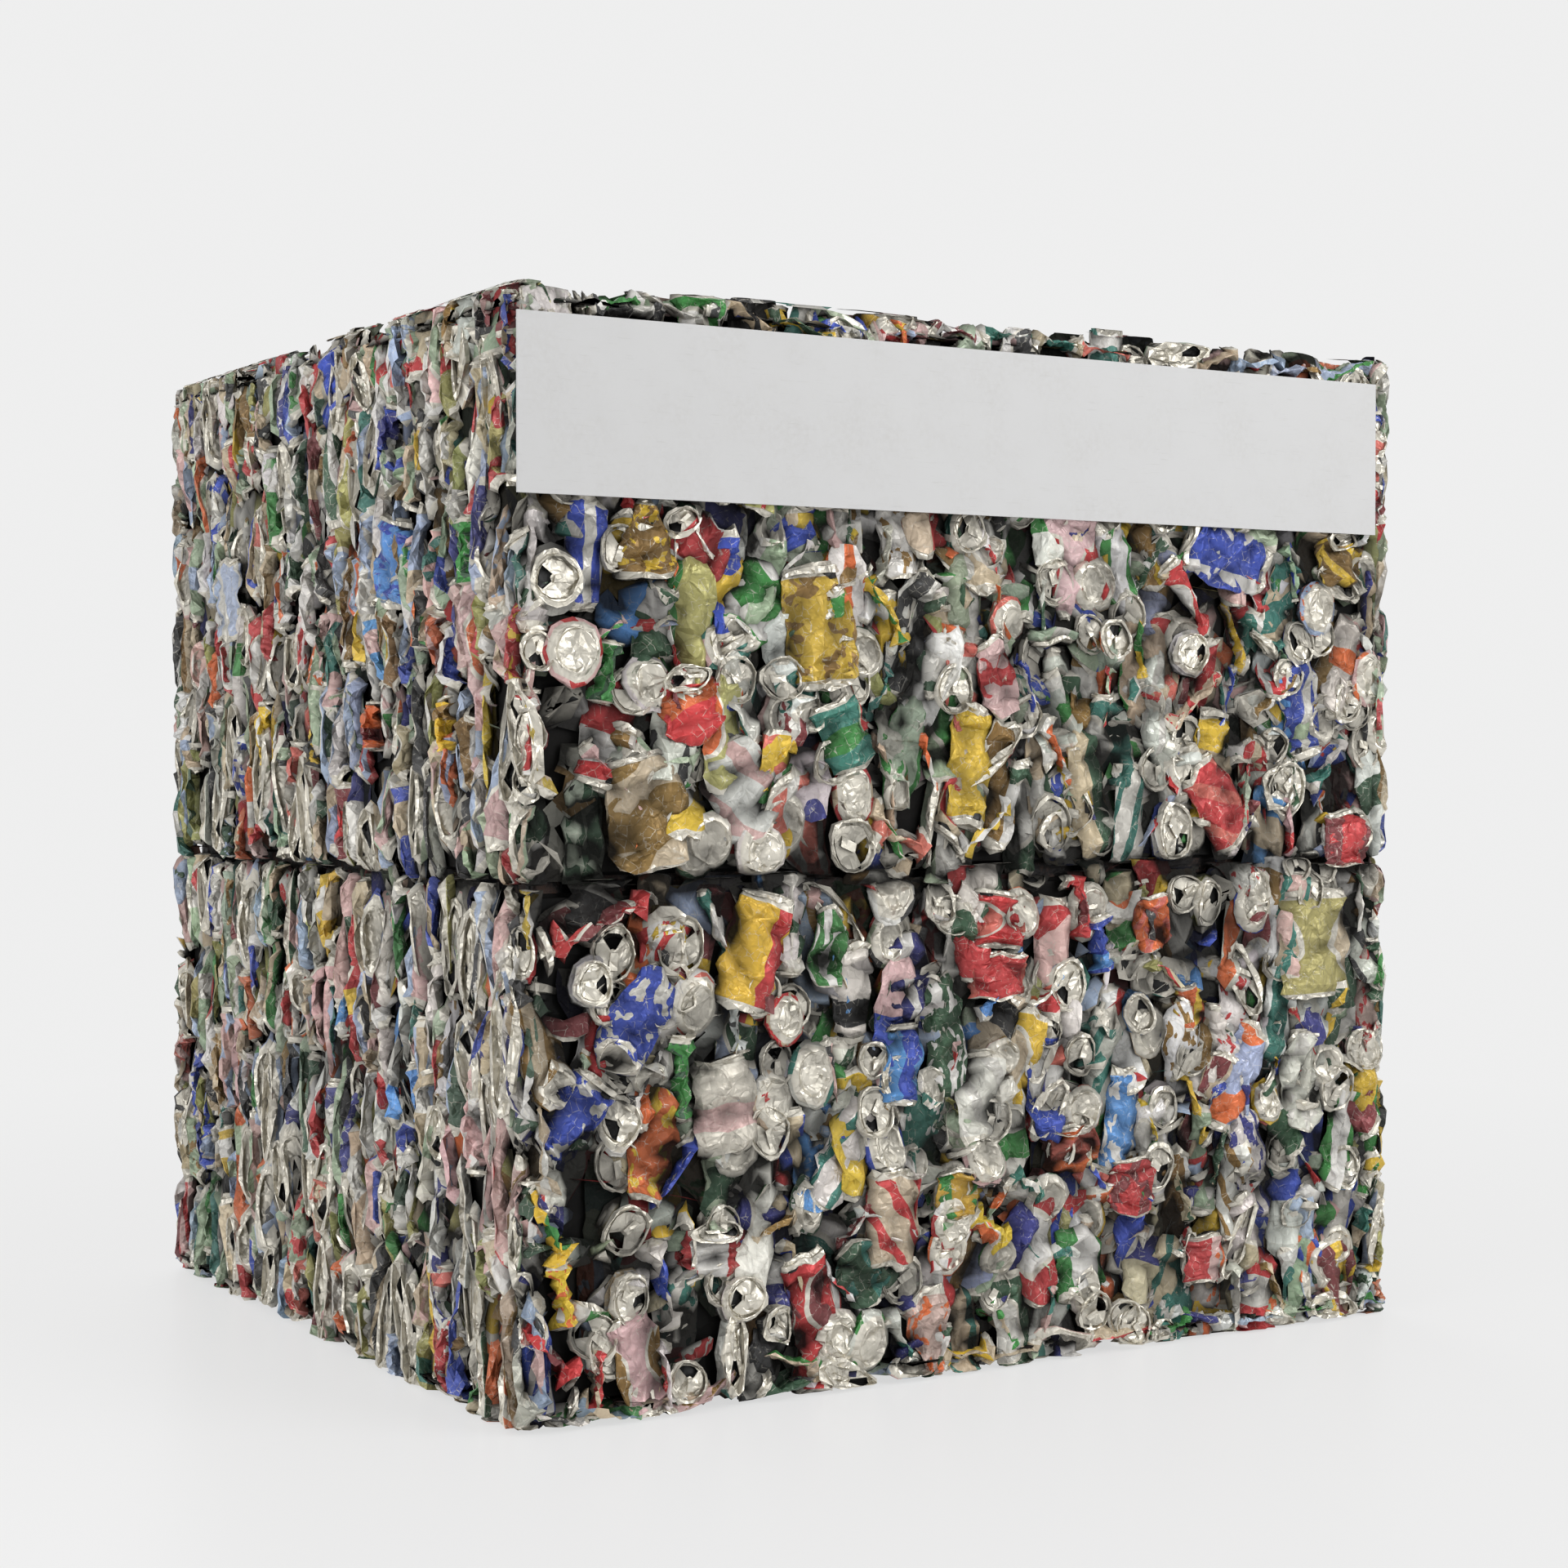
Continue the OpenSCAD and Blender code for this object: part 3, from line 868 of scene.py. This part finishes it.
def notableCan(dice, colour, ink, kind, along, height, wide, tall, swing):
    how = layingSet["notable"]
    shape = canShapes[kind]["size"]
    sizes = (wide / 1000 / shape[0], tall / 1000 / shape[1],
             1.0 if kind in edgeKinds else layingSet["flat"]["thin"])
    return newCan(dice, kind, (along / 1000, height / 1000), sizes, colourCan(dice, None, colour, ink),
                  swing=swing, tilt=how["tilt"], sunk=how["sunk"])


def bandSpots(faceName, band):  # where the face's cans lie: along, height, wide, tall
    right = faces[faceName]["right"]
    spots = []
    for low, high in solidSpots(f"{faceName}_cans_{band}"):
        middle, size = (low + high) / 2, high - low
        spots.append((float(middle @ right), float(middle[2]), abs(float(size @ right)), float(size[2])))
    return spots


boardSet = {"aside": 0.04, "below": 0.03, "above": 0.01}  # how far within it a can doesn't show


def underBoard(faceName, along, height):
    low, high = boardBox
    beside = low[0] + boardSet["aside"] < along < high[0] - boardSet["aside"]
    return (faceName == "front" and beside
            and low[2] + boardSet["below"] < height < high[2] - boardSet["above"])


def chooseUpright(dice, faceName, band):  # a can for each place, the cans that stand out first
    flat = faceName in ("front", "back")
    odds = colourOdds(2 if flat else 3)
    spots = bandSpots(faceName, band)
    cans = [notableCan(dice, *row) for row in notableCans.get(faceName, ())
            if (row[4] / 1000 < baleSet["lineHeight"]) == (band == "lower")]
    marked = [can["spot"] for can in cans]
    taken = set()
    for x, z in marked:  # each stands in for the can nearest to it
        away = [math.hypot(spot[0] - x, spot[1] - z) + (number in taken)
                for number, spot in enumerate(spots)]
        taken.add(int(np.argmin(away)))
    if flat:
        inset = layingSet["rim"]["inset"]
        cans += rimCans(dice, faceName, inset if band == "lower" else baleTop - inset, colourOdds(3))
    for number, (along, height, wide, tall) in enumerate(spots):
        beside, between = (along + wide / 2, height), (along + wide / 2, height + tall / 2)
        if flat and not underBoard(faceName, along, height):
            cans.append(deepCan(dice, (along, height + tall / 2), odds))
            if faceName == "front":
                cans.append(fillerCan(dice, beside, odds))
                if min(math.dist(between, spot) for spot in marked) > layingSet["notable"]["clear"]:
                    cans.append(flatCan(dice, between, odds))
        if number not in taken:
            cans.append(flatCan(dice, (along, height), odds, "size" if faceName == "front" else "backSize")
                        if flat else edgeCan(dice, (along, height), wide, tall, odds))
        if not flat and number % 2:
            cans.append(deepCan(dice, between, odds))
    return cans


def layUpright(dice, faceName, band, cans, heaps):
    b = baleSet
    low, high = (0.0, b["lineHeight"]) if band == "lower" else (b["lineHeight"], baleTop)
    way = tieSet["flat" if faceName in ("front", "back") else "edge"]
    topEase, footEase = b["rimEase"]
    for can in cans:
        level = can["spot"][1]
        if min(level, baleTop - level) < b["rimZone"]:
            can["sunk"] *= b["rimSunk"]
        points, below = placeCan(dice, can)
        height, out = alongTie(dice, points[:, 1], points[:, 2], band, way)
        out = keepShallow(out)
        rise = b["standing"] if level > baleTop - b["standZone"] else abs(dice.normal(0, b["rimRise"]))
        height = softBelow(height, baleTop - b["rimInset"] + rise, topEase)
        height = -softBelow(-height, -b["rimInset"], footEase)
        placed = roundRim(onUpright(faces[faceName], points[:, 0], height, out))
        strip = int((level - low) / (high - low) * len(heaps))
        heaps[max(0, min(len(heaps) - 1, strip))].add(can, placed, shadeOf(can, out, below))


def chooseCorner(dice, faceName, band):
    how = layingSet["corner"]
    face = faces[faceName]
    arc = baleSet["edgeRound"] * math.pi / 2
    flat = face["half"] - baleSet["edgeRound"]
    cans = []
    for low, high in solidSpots(f"corner_cans_{band}"):
        middle = (low + high) / 2
        if middle @ face["out"] < 0:
            continue
        side, level = math.copysign(1, middle @ face["right"]), float(middle[2])
        cans.append(flatCan(dice, (side * (flat + arc * how["flatAt"]), level), colourOdds(2)))
        for share in how["edgeAt"]:
            spot = (side * (flat + arc * share), level + dice.normal(0, how["scatter"]))
            cans.append(edgeCan(dice, spot, how["wide"], float(high[2] - low[2]), colourOdds(3)))
    for can in cans:
        can["sunk"] *= how["sunk"]
        # painted shade: darker colours for the cans round the upright edges, where the lamps light them most
        can["colours"] = [(*(how["cornerShade"] * c for c in colour[:3]), colour[3]) for colour in can["colours"]]
    return cans


def insidePlan(along, across):  # keeps within the bale's plan, which has rounded corners
    radius = baleSet["edgeRound"]
    limits = (halfWidth - baleSet["planInset"] - radius, halfDepth - baleSet["planInset"] - radius)
    over = [np.maximum(np.abs(value) - limit, 0) for value, limit in zip((along, across), limits)]
    shrink = radius / np.maximum(np.hypot(*over), radius)
    return [np.sign(value) * (np.minimum(np.abs(value), limit) + past * shrink)
            for value, limit, past in zip((along, across), limits, over)]


def layLevel(side, name, seed, strips):
    how = layingSet["level"]
    dice = np.random.default_rng(seed)
    odds = colourOdds(3)
    heaps = [Heap() for _ in range(strips)]
    for number, (low, high) in enumerate(solidSpots("top_cans")):
        middle, size = (low + high) / 2, high - low
        if side < 0 and round((middle[1] + halfDepth) / size[1]) % 2:
            continue
        spot = (middle[1] * baleSet["planSpread"], middle[0] * baleSet["planSpread"])
        cans = [edgeCan(dice, spot, size[1] * how["wide"][side], size[0] * how["long"], odds)]
        if number % 2:
            cans.append(deepCan(dice, spot, odds))
        strip = min(strips - 1, int((middle[1] + halfDepth) / (2 * halfDepth) * strips))
        for can in cans:
            points, below = placeCan(dice, can)
            out = keepShallow(points[:, 2])
            if side < 0:  # nothing reaches below the ground
                out = np.minimum(out, 0)
            along, across = insidePlan(points[:, 1] * -side, points[:, 0])
            placed = np.stack([along, across, (baleTop if side > 0 else 0.0) + side * out], 1)
            heaps[strip].add(can, roundRim(placed), shadeOf(can, out, below))
    return [heap.make(f"{name}{number + 1}") for number, heap in enumerate(heaps)]


boardBox = solidSpots("label_board")[0]
canPieces = {}
for number, faceName in enumerate(faces):
    for band in ("lower", "upper"):
        dice = np.random.default_rng(100 * number + (7 if band == "lower" else 8))
        heaps = [Heap(), Heap()]
        layUpright(dice, faceName, band, chooseUpright(dice, faceName, band), heaps)
        canPieces[f"{faceName}_cans_{band}"] = [heap.make(f"{faceName}Cans{band.capitalize()}{strip + 1}")
                                                for strip, heap in enumerate(heaps)]
for band in ("lower", "upper"):
    made = []
    for number, faceName in enumerate(("front", "back")):
        dice = np.random.default_rng(900 + number + (0 if band == "lower" else 10))
        heap = Heap()
        layUpright(dice, faceName, band, chooseCorner(dice, faceName, band), [heap])
        made.append(heap.make(f"{faceName}CornerCans{band.capitalize()}"))
    canPieces[f"corner_cans_{band}"] = made
canPieces["top_cans"] = layLevel(1, "topCans", 920, 2)
canPieces["bottom_cans"] = layLevel(-1, "bottomCans", 921, 2)
allCans = [piece for made in canPieces.values() for piece in made]
for name, made in canPieces.items():
    print("laid", name, [len(piece.data.polygons) for piece in made])
print("all cans laid:", len(allCans), "pieces")


def newMaterial(name):
    material = bpy.data.materials.new(name)
    material.use_nodes = True
    material.node_tree.nodes.clear()
    return material, material.node_tree, take(material.node_tree, "ShaderNodeTexCoord", output="Object")


class Value:  # a node's output; arithmetic on it adds the nodes that work it out
    def __init__(self, socket):
        self.tree = socket.id_data
        self.socket = socket

    def __add__(self, other):
        return calc("ADD", self, other)

    def __sub__(self, other):
        return calc("SUBTRACT", self, other)

    def __rsub__(self, other):
        return calc("SUBTRACT", other, self)

    def __mul__(self, other):
        return calc("MULTIPLY", self, other)

    def __truediv__(self, other):
        return calc("DIVIDE", self, other)

    def __lt__(self, other):
        return calc("LESS_THAN", self, other)

    def __gt__(self, other):
        return calc("GREATER_THAN", self, other)

    def __abs__(self):
        return calc("ABSOLUTE", self)


def feed(socket, value):
    if isinstance(value, Value):
        value.tree.links.new(value.socket, socket)
    elif socket.type == "RGBA":
        socket.default_value = (*value, 1)
    else:
        socket.default_value = value


def node(tree, kind, fed=(), **settings):  # fed is what goes into its inputs, by name or number
    made = tree.nodes.new(kind)
    for name, value in settings.items():
        setattr(made, name, value)
    for name, value in dict(fed).items():
        feed(made.inputs[name], value)
    return made


def take(tree, kind, fed=(), output=0, **settings):  # a new node's output
    return Value(node(tree, kind, fed, **settings).outputs[output])


def treeOf(*values):
    return next(value.tree for value in values if isinstance(value, Value))


def calc(operation, *values, clamp=False):
    return take(treeOf(*values), "ShaderNodeMath", enumerate(values), operation=operation, use_clamp=clamp)


def larger(first, second, **settings):
    return calc("MAXIMUM", first, second, **settings)


def fract(value):
    return calc("FRACT", value)


def split(vector):
    return [Value(out) for out in node(vector.tree, "ShaderNodeSeparateXYZ", {0: vector}).outputs]


def blend(share, first, second, mode="MIX"):
    return take(treeOf(share, first, second), "ShaderNodeMix", {0: share, 6: first, 7: second}, 2,
                data_type="RGBA", blend_type=mode)


def ramp(value, low, high, atLow=0.0, atHigh=1.0):  # a straight ramp, held at both ends
    return take(value.tree, "ShaderNodeMapRange", enumerate((value, low, high, atLow, atHigh)), clamp=True)


def noise(place, scale, detail=3.0, roughness=0.55, output="Fac"):
    fed = {"Vector": place, "Scale": scale, "Detail": detail, "Roughness": roughness}
    return take(place.tree, "ShaderNodeTexNoise", fed, output)


def voronoi(place, scale, feature="DISTANCE_TO_EDGE", output="Distance"):
    fed = {"Vector": place, "Scale": scale}
    return take(place.tree, "ShaderNodeTexVoronoi", fed, output, feature=feature)


def newGroup(name, inputs, outputs):
    group = bpy.data.node_groups.new(name, "ShaderNodeTree")
    for way, labels in (("INPUT", inputs), ("OUTPUT", outputs)):
        for label in labels:
            kind = "NodeSocketVector" if label in ("Rest", "Place") else "NodeSocketFloat"
            group.interface.new_socket(label, in_out=way, socket_type=kind)
    given = node(group, "NodeGroupInput").outputs
    return group, [Value(given[label]) for label in inputs], node(group, "NodeGroupOutput").inputs


def useGroup(tree, group, **fed):
    made = node(tree, "ShaderNodeGroup", fed, node_tree=group)
    return {out.name: Value(out) for out in made.outputs}


def addSurface(tree, inputs, height, deep, strength=1.0):  # a shader with these inputs, and a bump
    normal = take(tree, "ShaderNodeBump", {"Height": height, "Distance": deep, "Strength": strength})
    shader = take(tree, "ShaderNodeBsdfPrincipled", {**inputs, "Normal": normal})
    node(tree, "ShaderNodeOutputMaterial", {"Surface": shader})


finishSet = {
    "bareMetal": linear((0.89, 0.87, 0.82)),
    "trimColour": linear((0.88, 0.86, 0.81)),
    "filmColour": linear((0.34, 0.31, 0.27)),
    # painted shade: the near black that deep spots and the cans' flanks are coloured towards
    "shadeColour": linear((0.05, 0.047, 0.044)),
    # painted shade: the near black of the can's opening, standing in for the dark inside the can
    "mouthPaintedShade": (0.004, 0.004, 0.004),
    "toneColour": (0.86, 0.86, 0.85),  # what the patches of weaker colour are multiplied by
    "creaseSize": 50.0,  # facets to the metre
    "facetSlope": 0.9,
    "fineFacets": (2.4, 0.7),  # how many times as many, and how steep beside the large ones
    "warp": (30.0, 0.018),  # what bends the facets' edges: to the metre, and how far
    # painted shade along the creases' valleys
    "foldShade": 0.18,
    "shadeMost": 0.98,
    "wearAmount": 0.15,
    "wearMost": 0.8,
    "filmAmount": 0.34,
    "rough": (0.32, 0.55),
    "dullMetal": 0.85,  # how far dirt and painted shade take the metal's shine
    "dullRough": 0.35,
}
# where a straight can's parts lie in metres: along it from its middle, and out from its axis
restSet = {
    "lidFrom": 0.0590,
    "footFrom": -0.0560,
    "endFrom": 0.045,
    "endOut": 0.0255,
    "mouth": (0.040, 0.0576),
    "mouthOut": 0.0214,
}
# the print in turns round the can and in shares of its height; a pattern's last value is its share of ink
printSet = {
    "middle": 0.5,
    "oval": (0.52, 0.33, 0.26),  # height of its middle, half its width and half its height
    "ovalRing": 1.35,
    "wave": (1.3, 0.13, 0.40),  # how many, how far they ripple
    "slant": (4.0, 0.34),  # how many
    "band": (0.25, 0.5, 0.13),  # the lowest, and how far up it can lie
    "leaf": (42.0, 0.56),  # to the metre
    "panel": 0.17,
    "trimFrom": 0.44,  # from the middle
}


def makePrintGroup():  # generic print round a can, from its coordinates before it was crushed
    p = printSet
    group, (rest, seed), out = newGroup("canPrint", ("Rest", "Seed"), ("Ink", "Trim"))
    x, y, z = split(rest)
    around = fract(calc("ARCTAN2", x, z) * 0.15915 + seed * 7.0)  # turns
    high = y * 8.6 + p["middle"]
    half = fract(around * 2.0) - 0.5
    level, wide, tall = p["oval"]
    oval = calc("POWER", half / wide, 2.0) + calc("POWER", (high - level) / tall, 2.0)
    waves, rippleDeep, waveInk = p["wave"]
    ripple = calc("SINE", around * 12.566) * rippleDeep
    wave = fract(high * waves + ripple + seed * 3.0)
    slants, slantInk = p["slant"]
    slant = fract(around * slants + high * (seed * 4.0 - 2.0))
    lowest, spread, bandInk = p["band"]
    band = abs(high - (seed * spread + lowest))
    leafSize, leafInk = p["leaf"]
    leaf = noise(rest, leafSize, 2.0)
    patterns = (oval < 1.0, wave < waveInk, slant < slantInk, band < bandInk, leaf > leafInk,
                abs(half) < p["panel"])
    kind = calc("FLOOR", fract(seed * 17.3) * float(len(patterns)))
    isKind = [calc("COMPARE", kind, float(number), 0.5) for number in range(len(patterns))]
    ink = isKind[0] * patterns[0]
    for chosen, pattern in zip(isKind[1:], patterns[1:]):
        ink = ink + chosen * pattern
    feed(out["Ink"], calc("MINIMUM", ink, 1.0))
    ring = (oval > 1.0) * (oval < p["ovalRing"])
    edges = abs(high - p["middle"]) > p["trimFrom"]
    feed(out["Trim"], larger(edges, ring * isKind[0]))
    return group


def makeWearGroup():  # where paint has rubbed or cracked off
    group, (place, amount), out = newGroup("paintWear", ("Place", "Amount"), ("Mask",))
    patch = noise(place, 85.0, 5.0, 0.68)
    worn = ramp(patch + amount * 0.2, 0.72, 0.76)
    cracked = ramp(voronoi(place, 95.0), 0.0, 0.035, 1.0, 0.0) * ramp(patch, 0.48, 0.58)
    feed(out["Mask"], larger(worn, cracked, clamp=True))
    return group


def makeFilmAndShadeGroup():  # a film of dirt in patches, and painted shade that is thicker the deeper a spot lies
    group, (place, deep), out = newGroup("filmAndShade", ("Place", "Deep"), ("Film", "Shade"))
    patch = noise(place, 14.0, 4.0, 0.6)
    speck = noise(place, 160.0, 3.0, 0.7)
    feed(out["Film"], ramp(patch, 0.42, 0.72) * ramp(speck, 0.35, 0.70))
    # painted shade, darker the deeper a spot lies
    feed(out["Shade"], ramp(deep, 0.26, 0.70))
    return group


def addFacets(place, scale, slope):  # flat facets that meet at ridges and valleys, as in crumpled sheet
    lean = (voronoi(place, scale, "F1", "Color") - 0.5) * (2 * slope)
    inward = voronoi(place, scale)
    return inward * lean / scale, inward


def makeCreaseGroup():  # fine crumpling of thin sheet: its height in metres, and where the folds are
    group, (place, size), out = newGroup("sheetCreases", ("Place", "Size"), ("Height", "Fold"))
    warpScale, warpShift = finishSet["warp"]
    warp = noise(place, warpScale, 2.0, 0.5, "Color")
    shift = take(group, "ShaderNodeVectorMath", {0: warp, "Scale": warpShift}, operation="SCALE")
    bent = take(group, "ShaderNodeVectorMath", {0: place, 1: shift}, operation="ADD")
    slope, (more, flatter) = finishSet["facetSlope"], finishSet["fineFacets"]
    large, edge = addFacets(bent, size, slope)
    small, _ = addFacets(bent, size * more, slope * flatter)
    feed(out["Height"], large + small + noise(place, 300.0, 2.0) * 0.00012)
    # the fold lines, which the can's colour darkens as painted shade
    feed(out["Fold"], ramp(edge, 0.0, 0.10, 1.0, 0.0))
    return group


filmAndShadeGroup = makeFilmAndShadeGroup()


def makeCanMaterial():
    material, tree, place = newMaterial("crushedCans")

    def read(name, output="Fac"):
        return take(tree, "ShaderNodeAttribute", output=output, attribute_name=name)

    rest, seed, deep = read("canRest", "Vector"), read("canSeed"), read("canPaintedShade")
    x, y, z = split(rest)
    out = calc("SQRT", x * x + z * z)
    inner = (out < restSet["endOut"]) * (abs(y) > restSet["endFrom"])
    bareEnd = larger(larger(y > restSet["lidFrom"], y < restSet["footFrom"]), inner)
    mouthFrom, mouthTo = restSet["mouth"]
    mouth = (out < restSet["mouthOut"]) * ((y > mouthFrom) * (y < mouthTo))
    printed = useGroup(tree, makePrintGroup(), Rest=rest, Seed=seed)
    inked = printed["Ink"]
    worn = useGroup(tree, makeWearGroup(), Place=place, Amount=finishSet["wearAmount"])["Mask"]
    filmAndShade = useGroup(tree, filmAndShadeGroup, Place=place, Deep=deep)
    crease = useGroup(tree, makeCreaseGroup(), Place=place, Size=finishSet["creaseSize"])
    film = filmAndShade["Film"] * finishSet["filmAmount"]
    # painted shade deep between the cans and along the creases' valleys; with the dirt film it also dulls
    # the metal
    shade = larger(filmAndShade["Shade"], crease["Fold"] * finishSet["foldShade"])
    dirtAndShade = larger(film, shade)
    bare = larger(bareEnd, worn * finishSet["wearMost"])
    colour = blend(inked, read("canBase", "Color"), read("canInk", "Color"))
    colour = blend(printed["Trim"], colour, finishSet["trimColour"])
    colour = blend(bare, colour, finishSet["bareMetal"])
    tone = blend(ramp(noise(place, 38.0), 0.3, 0.7), finishSet["toneColour"], (1.0, 1.0, 1.0))
    colour = blend(1.0, colour, tone, "MULTIPLY")
    colour = blend(film, colour, finishSet["filmColour"])
    colour = blend(shade * finishSet["shadeMost"], colour, finishSet["shadeColour"])
    # painted shade in the opening, which also loses its metal shine below
    colour = blend(mouth, colour, finishSet["mouthPaintedShade"])
    metal = read("canBase", "Alpha") * (1.0 - inked) + read("canInk", "Alpha") * inked
    metal = larger(metal * 0.85, bare) * (1.0 - dirtAndShade * finishSet["dullMetal"]) * (1.0 - mouth)
    rough = ramp(noise(place, 55.0, 4.0, 0.65), 0.3, 0.7, *finishSet["rough"])
    rough = calc("ADD", rough, dirtAndShade * finishSet["dullRough"], clamp=True)
    addSurface(tree, {"Base Color": colour, "Metallic": metal, "Roughness": rough,
                      "Specular IOR Level": ramp(dirtAndShade, 0.0, 1.0, 0.5, 0.1)}, crease["Height"], 1.0)
    return material


def makeCoreMaterial():  # cans deep in the bale, painted near black as the shade in the gaps between the outer cans
    material, tree, place = newMaterial("paintedShadeCore")
    tint = noise(place, 20.0, 4.0)
    colour = blend(ramp(tint, 0.4, 0.6), (0.002, 0.002, 0.0018), (0.008, 0.0075, 0.007))
    addSurface(tree, {"Base Color": colour, "Roughness": ramp(tint, 0.3, 0.7, 0.5, 0.85),
                      "Specular IOR Level": 0.1}, voronoi(place, 24.0, "F1"), 0.006)
    return material


def makeStrapMaterial():
    material, tree, place = newMaterial("strapSteel")
    rust = ramp(noise(place, 60.0, 5.0, 0.7), 0.50, 0.66)
    colour = blend(rust, linear((0.12, 0.115, 0.115)), linear((0.22, 0.13, 0.08)))
    addSurface(tree, {"Base Color": colour, "Metallic": 0.9 - rust * 0.9,
                      "Roughness": ramp(rust, 0.0, 1.0, 0.38, 0.8)}, noise(place, 220.0, 4.0), 0.0006)
    return material


def makeBoardMaterial():
    material, tree, place = newMaterial("blankBoard")
    soil = useGroup(tree, filmAndShadeGroup, Place=place, Deep=0.0)["Film"] * 0.16
    stretched = take(tree, "ShaderNodeMapping", {"Vector": place, "Scale": (6.0, 6.0, 90.0)})
    scuff = ramp(noise(stretched, 5.0, 5.0, 0.7), 0.60, 0.70)
    colour = blend(soil, linear((0.745, 0.745, 0.745)), linear((0.55, 0.52, 0.47)))
    colour = blend(scuff * 0.20, colour, linear((0.60, 0.59, 0.57)))
    addSurface(tree, {"Base Color": colour, "Roughness": ramp(scuff, 0.0, 1.0, 0.48, 0.66)},
               noise(place, 11.0, 2.0), 0.006, 0.35)
    return material


canMaterial = makeCanMaterial()
for piece in allCans:
    piece.data.materials.append(canMaterial)
strapMaterial = makeStrapMaterial()
for name, material in (("core", makeCoreMaterial()), ("strap", strapMaterial), ("strap_seal", strapMaterial),
                       ("label_board", makeBoardMaterial())):
    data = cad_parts[name].data
    data.materials.clear()
    data.materials.append(material)
print("materials made")

stageSet = {
    "backdrop": 0.86,  # as the camera sees it
    "floorSize": 40.0,
    "floorColour": (0.88, 0.88, 0.88),
    "floorRough": 0.32,
    "floorGap": 0.0005,  # below the bale
    "fade": (0.6, 2.4),  # the floor's own shading fades into the backdrop between these distances
    "fadeNear": 0.74,
    "worldStrength": 0.58,
    "aim": 0.5,  # the height that the lamps point at
    "lamps": {
        "key": {"place": (1.9, -3.5, 2.3), "size": 2.8, "power": 99.0},
        "fill": {"place": (-3.6, -0.8, 0.9), "size": 3.2, "power": 65.0},
        "back": {"place": (1.0, 3.4, 2.8), "size": 2.4, "power": 50.0},
    },
}


def makeFloor():
    s = stageSet
    bpy.ops.mesh.primitive_plane_add(size=s["floorSize"], location=(0, 0, -s["floorGap"]))
    floor = bpy.context.object
    floor.name = "floor"
    material, tree, place = newMaterial("floorPaint")
    length = take(tree, "ShaderNodeVectorMath", {0: place}, "Value", operation="LENGTH")
    seen = larger(*(take(tree, "ShaderNodeLightPath", output=name)
                    for name in ("Is Camera Ray", "Is Glossy Ray")))
    share = ramp(length, *s["fade"], s["fadeNear"]) * seen
    paint = take(tree, "ShaderNodeBsdfPrincipled",
                 {"Base Color": s["floorColour"], "Roughness": s["floorRough"]})
    glow = take(tree, "ShaderNodeEmission", {"Color": (s["backdrop"],) * 3})
    mixed = take(tree, "ShaderNodeMixShader", {0: share, 1: paint, 2: glow})
    node(tree, "ShaderNodeOutputMaterial", {"Surface": mixed})
    floor.data.materials.append(material)


def makeWorld():
    world = bpy.data.worlds.new("studio")
    bpy.context.scene.world = world
    world.use_nodes = True
    tree = world.node_tree
    tree.nodes.clear()
    seen = take(tree, "ShaderNodeLightPath", output="Is Camera Ray")
    light, backdrop = (take(tree, "ShaderNodeBackground", {"Color": (1, 1, 1), "Strength": stageSet[name]})
                       for name in ("worldStrength", "backdrop"))
    mixed = take(tree, "ShaderNodeMixShader", {0: seen, 1: light, 2: backdrop})
    node(tree, "ShaderNodeOutputWorld", {"Surface": mixed})


def addLamp(name, place, size, power):
    bpy.ops.object.light_add(type="AREA", location=place)
    lamp = bpy.context.object
    lamp.name = f"{name}Lamp"
    lamp.data.shape = "SQUARE"
    lamp.data.size = size
    lamp.data.energy = power
    towards = Vector((0, 0, stageSet["aim"])) - lamp.location
    lamp.rotation_euler = towards.to_track_quat("-Z", "Y").to_euler()


makeFloor()
makeWorld()
for name, lamp in stageSet["lamps"].items():
    addLamp(name, **lamp)
bpy.context.scene.view_settings.view_transform = "Standard"
print("stage lit")

for nodeName, made in canPieces.items():
    for piece in made:
        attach(piece, "root")
        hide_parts(nodeName)
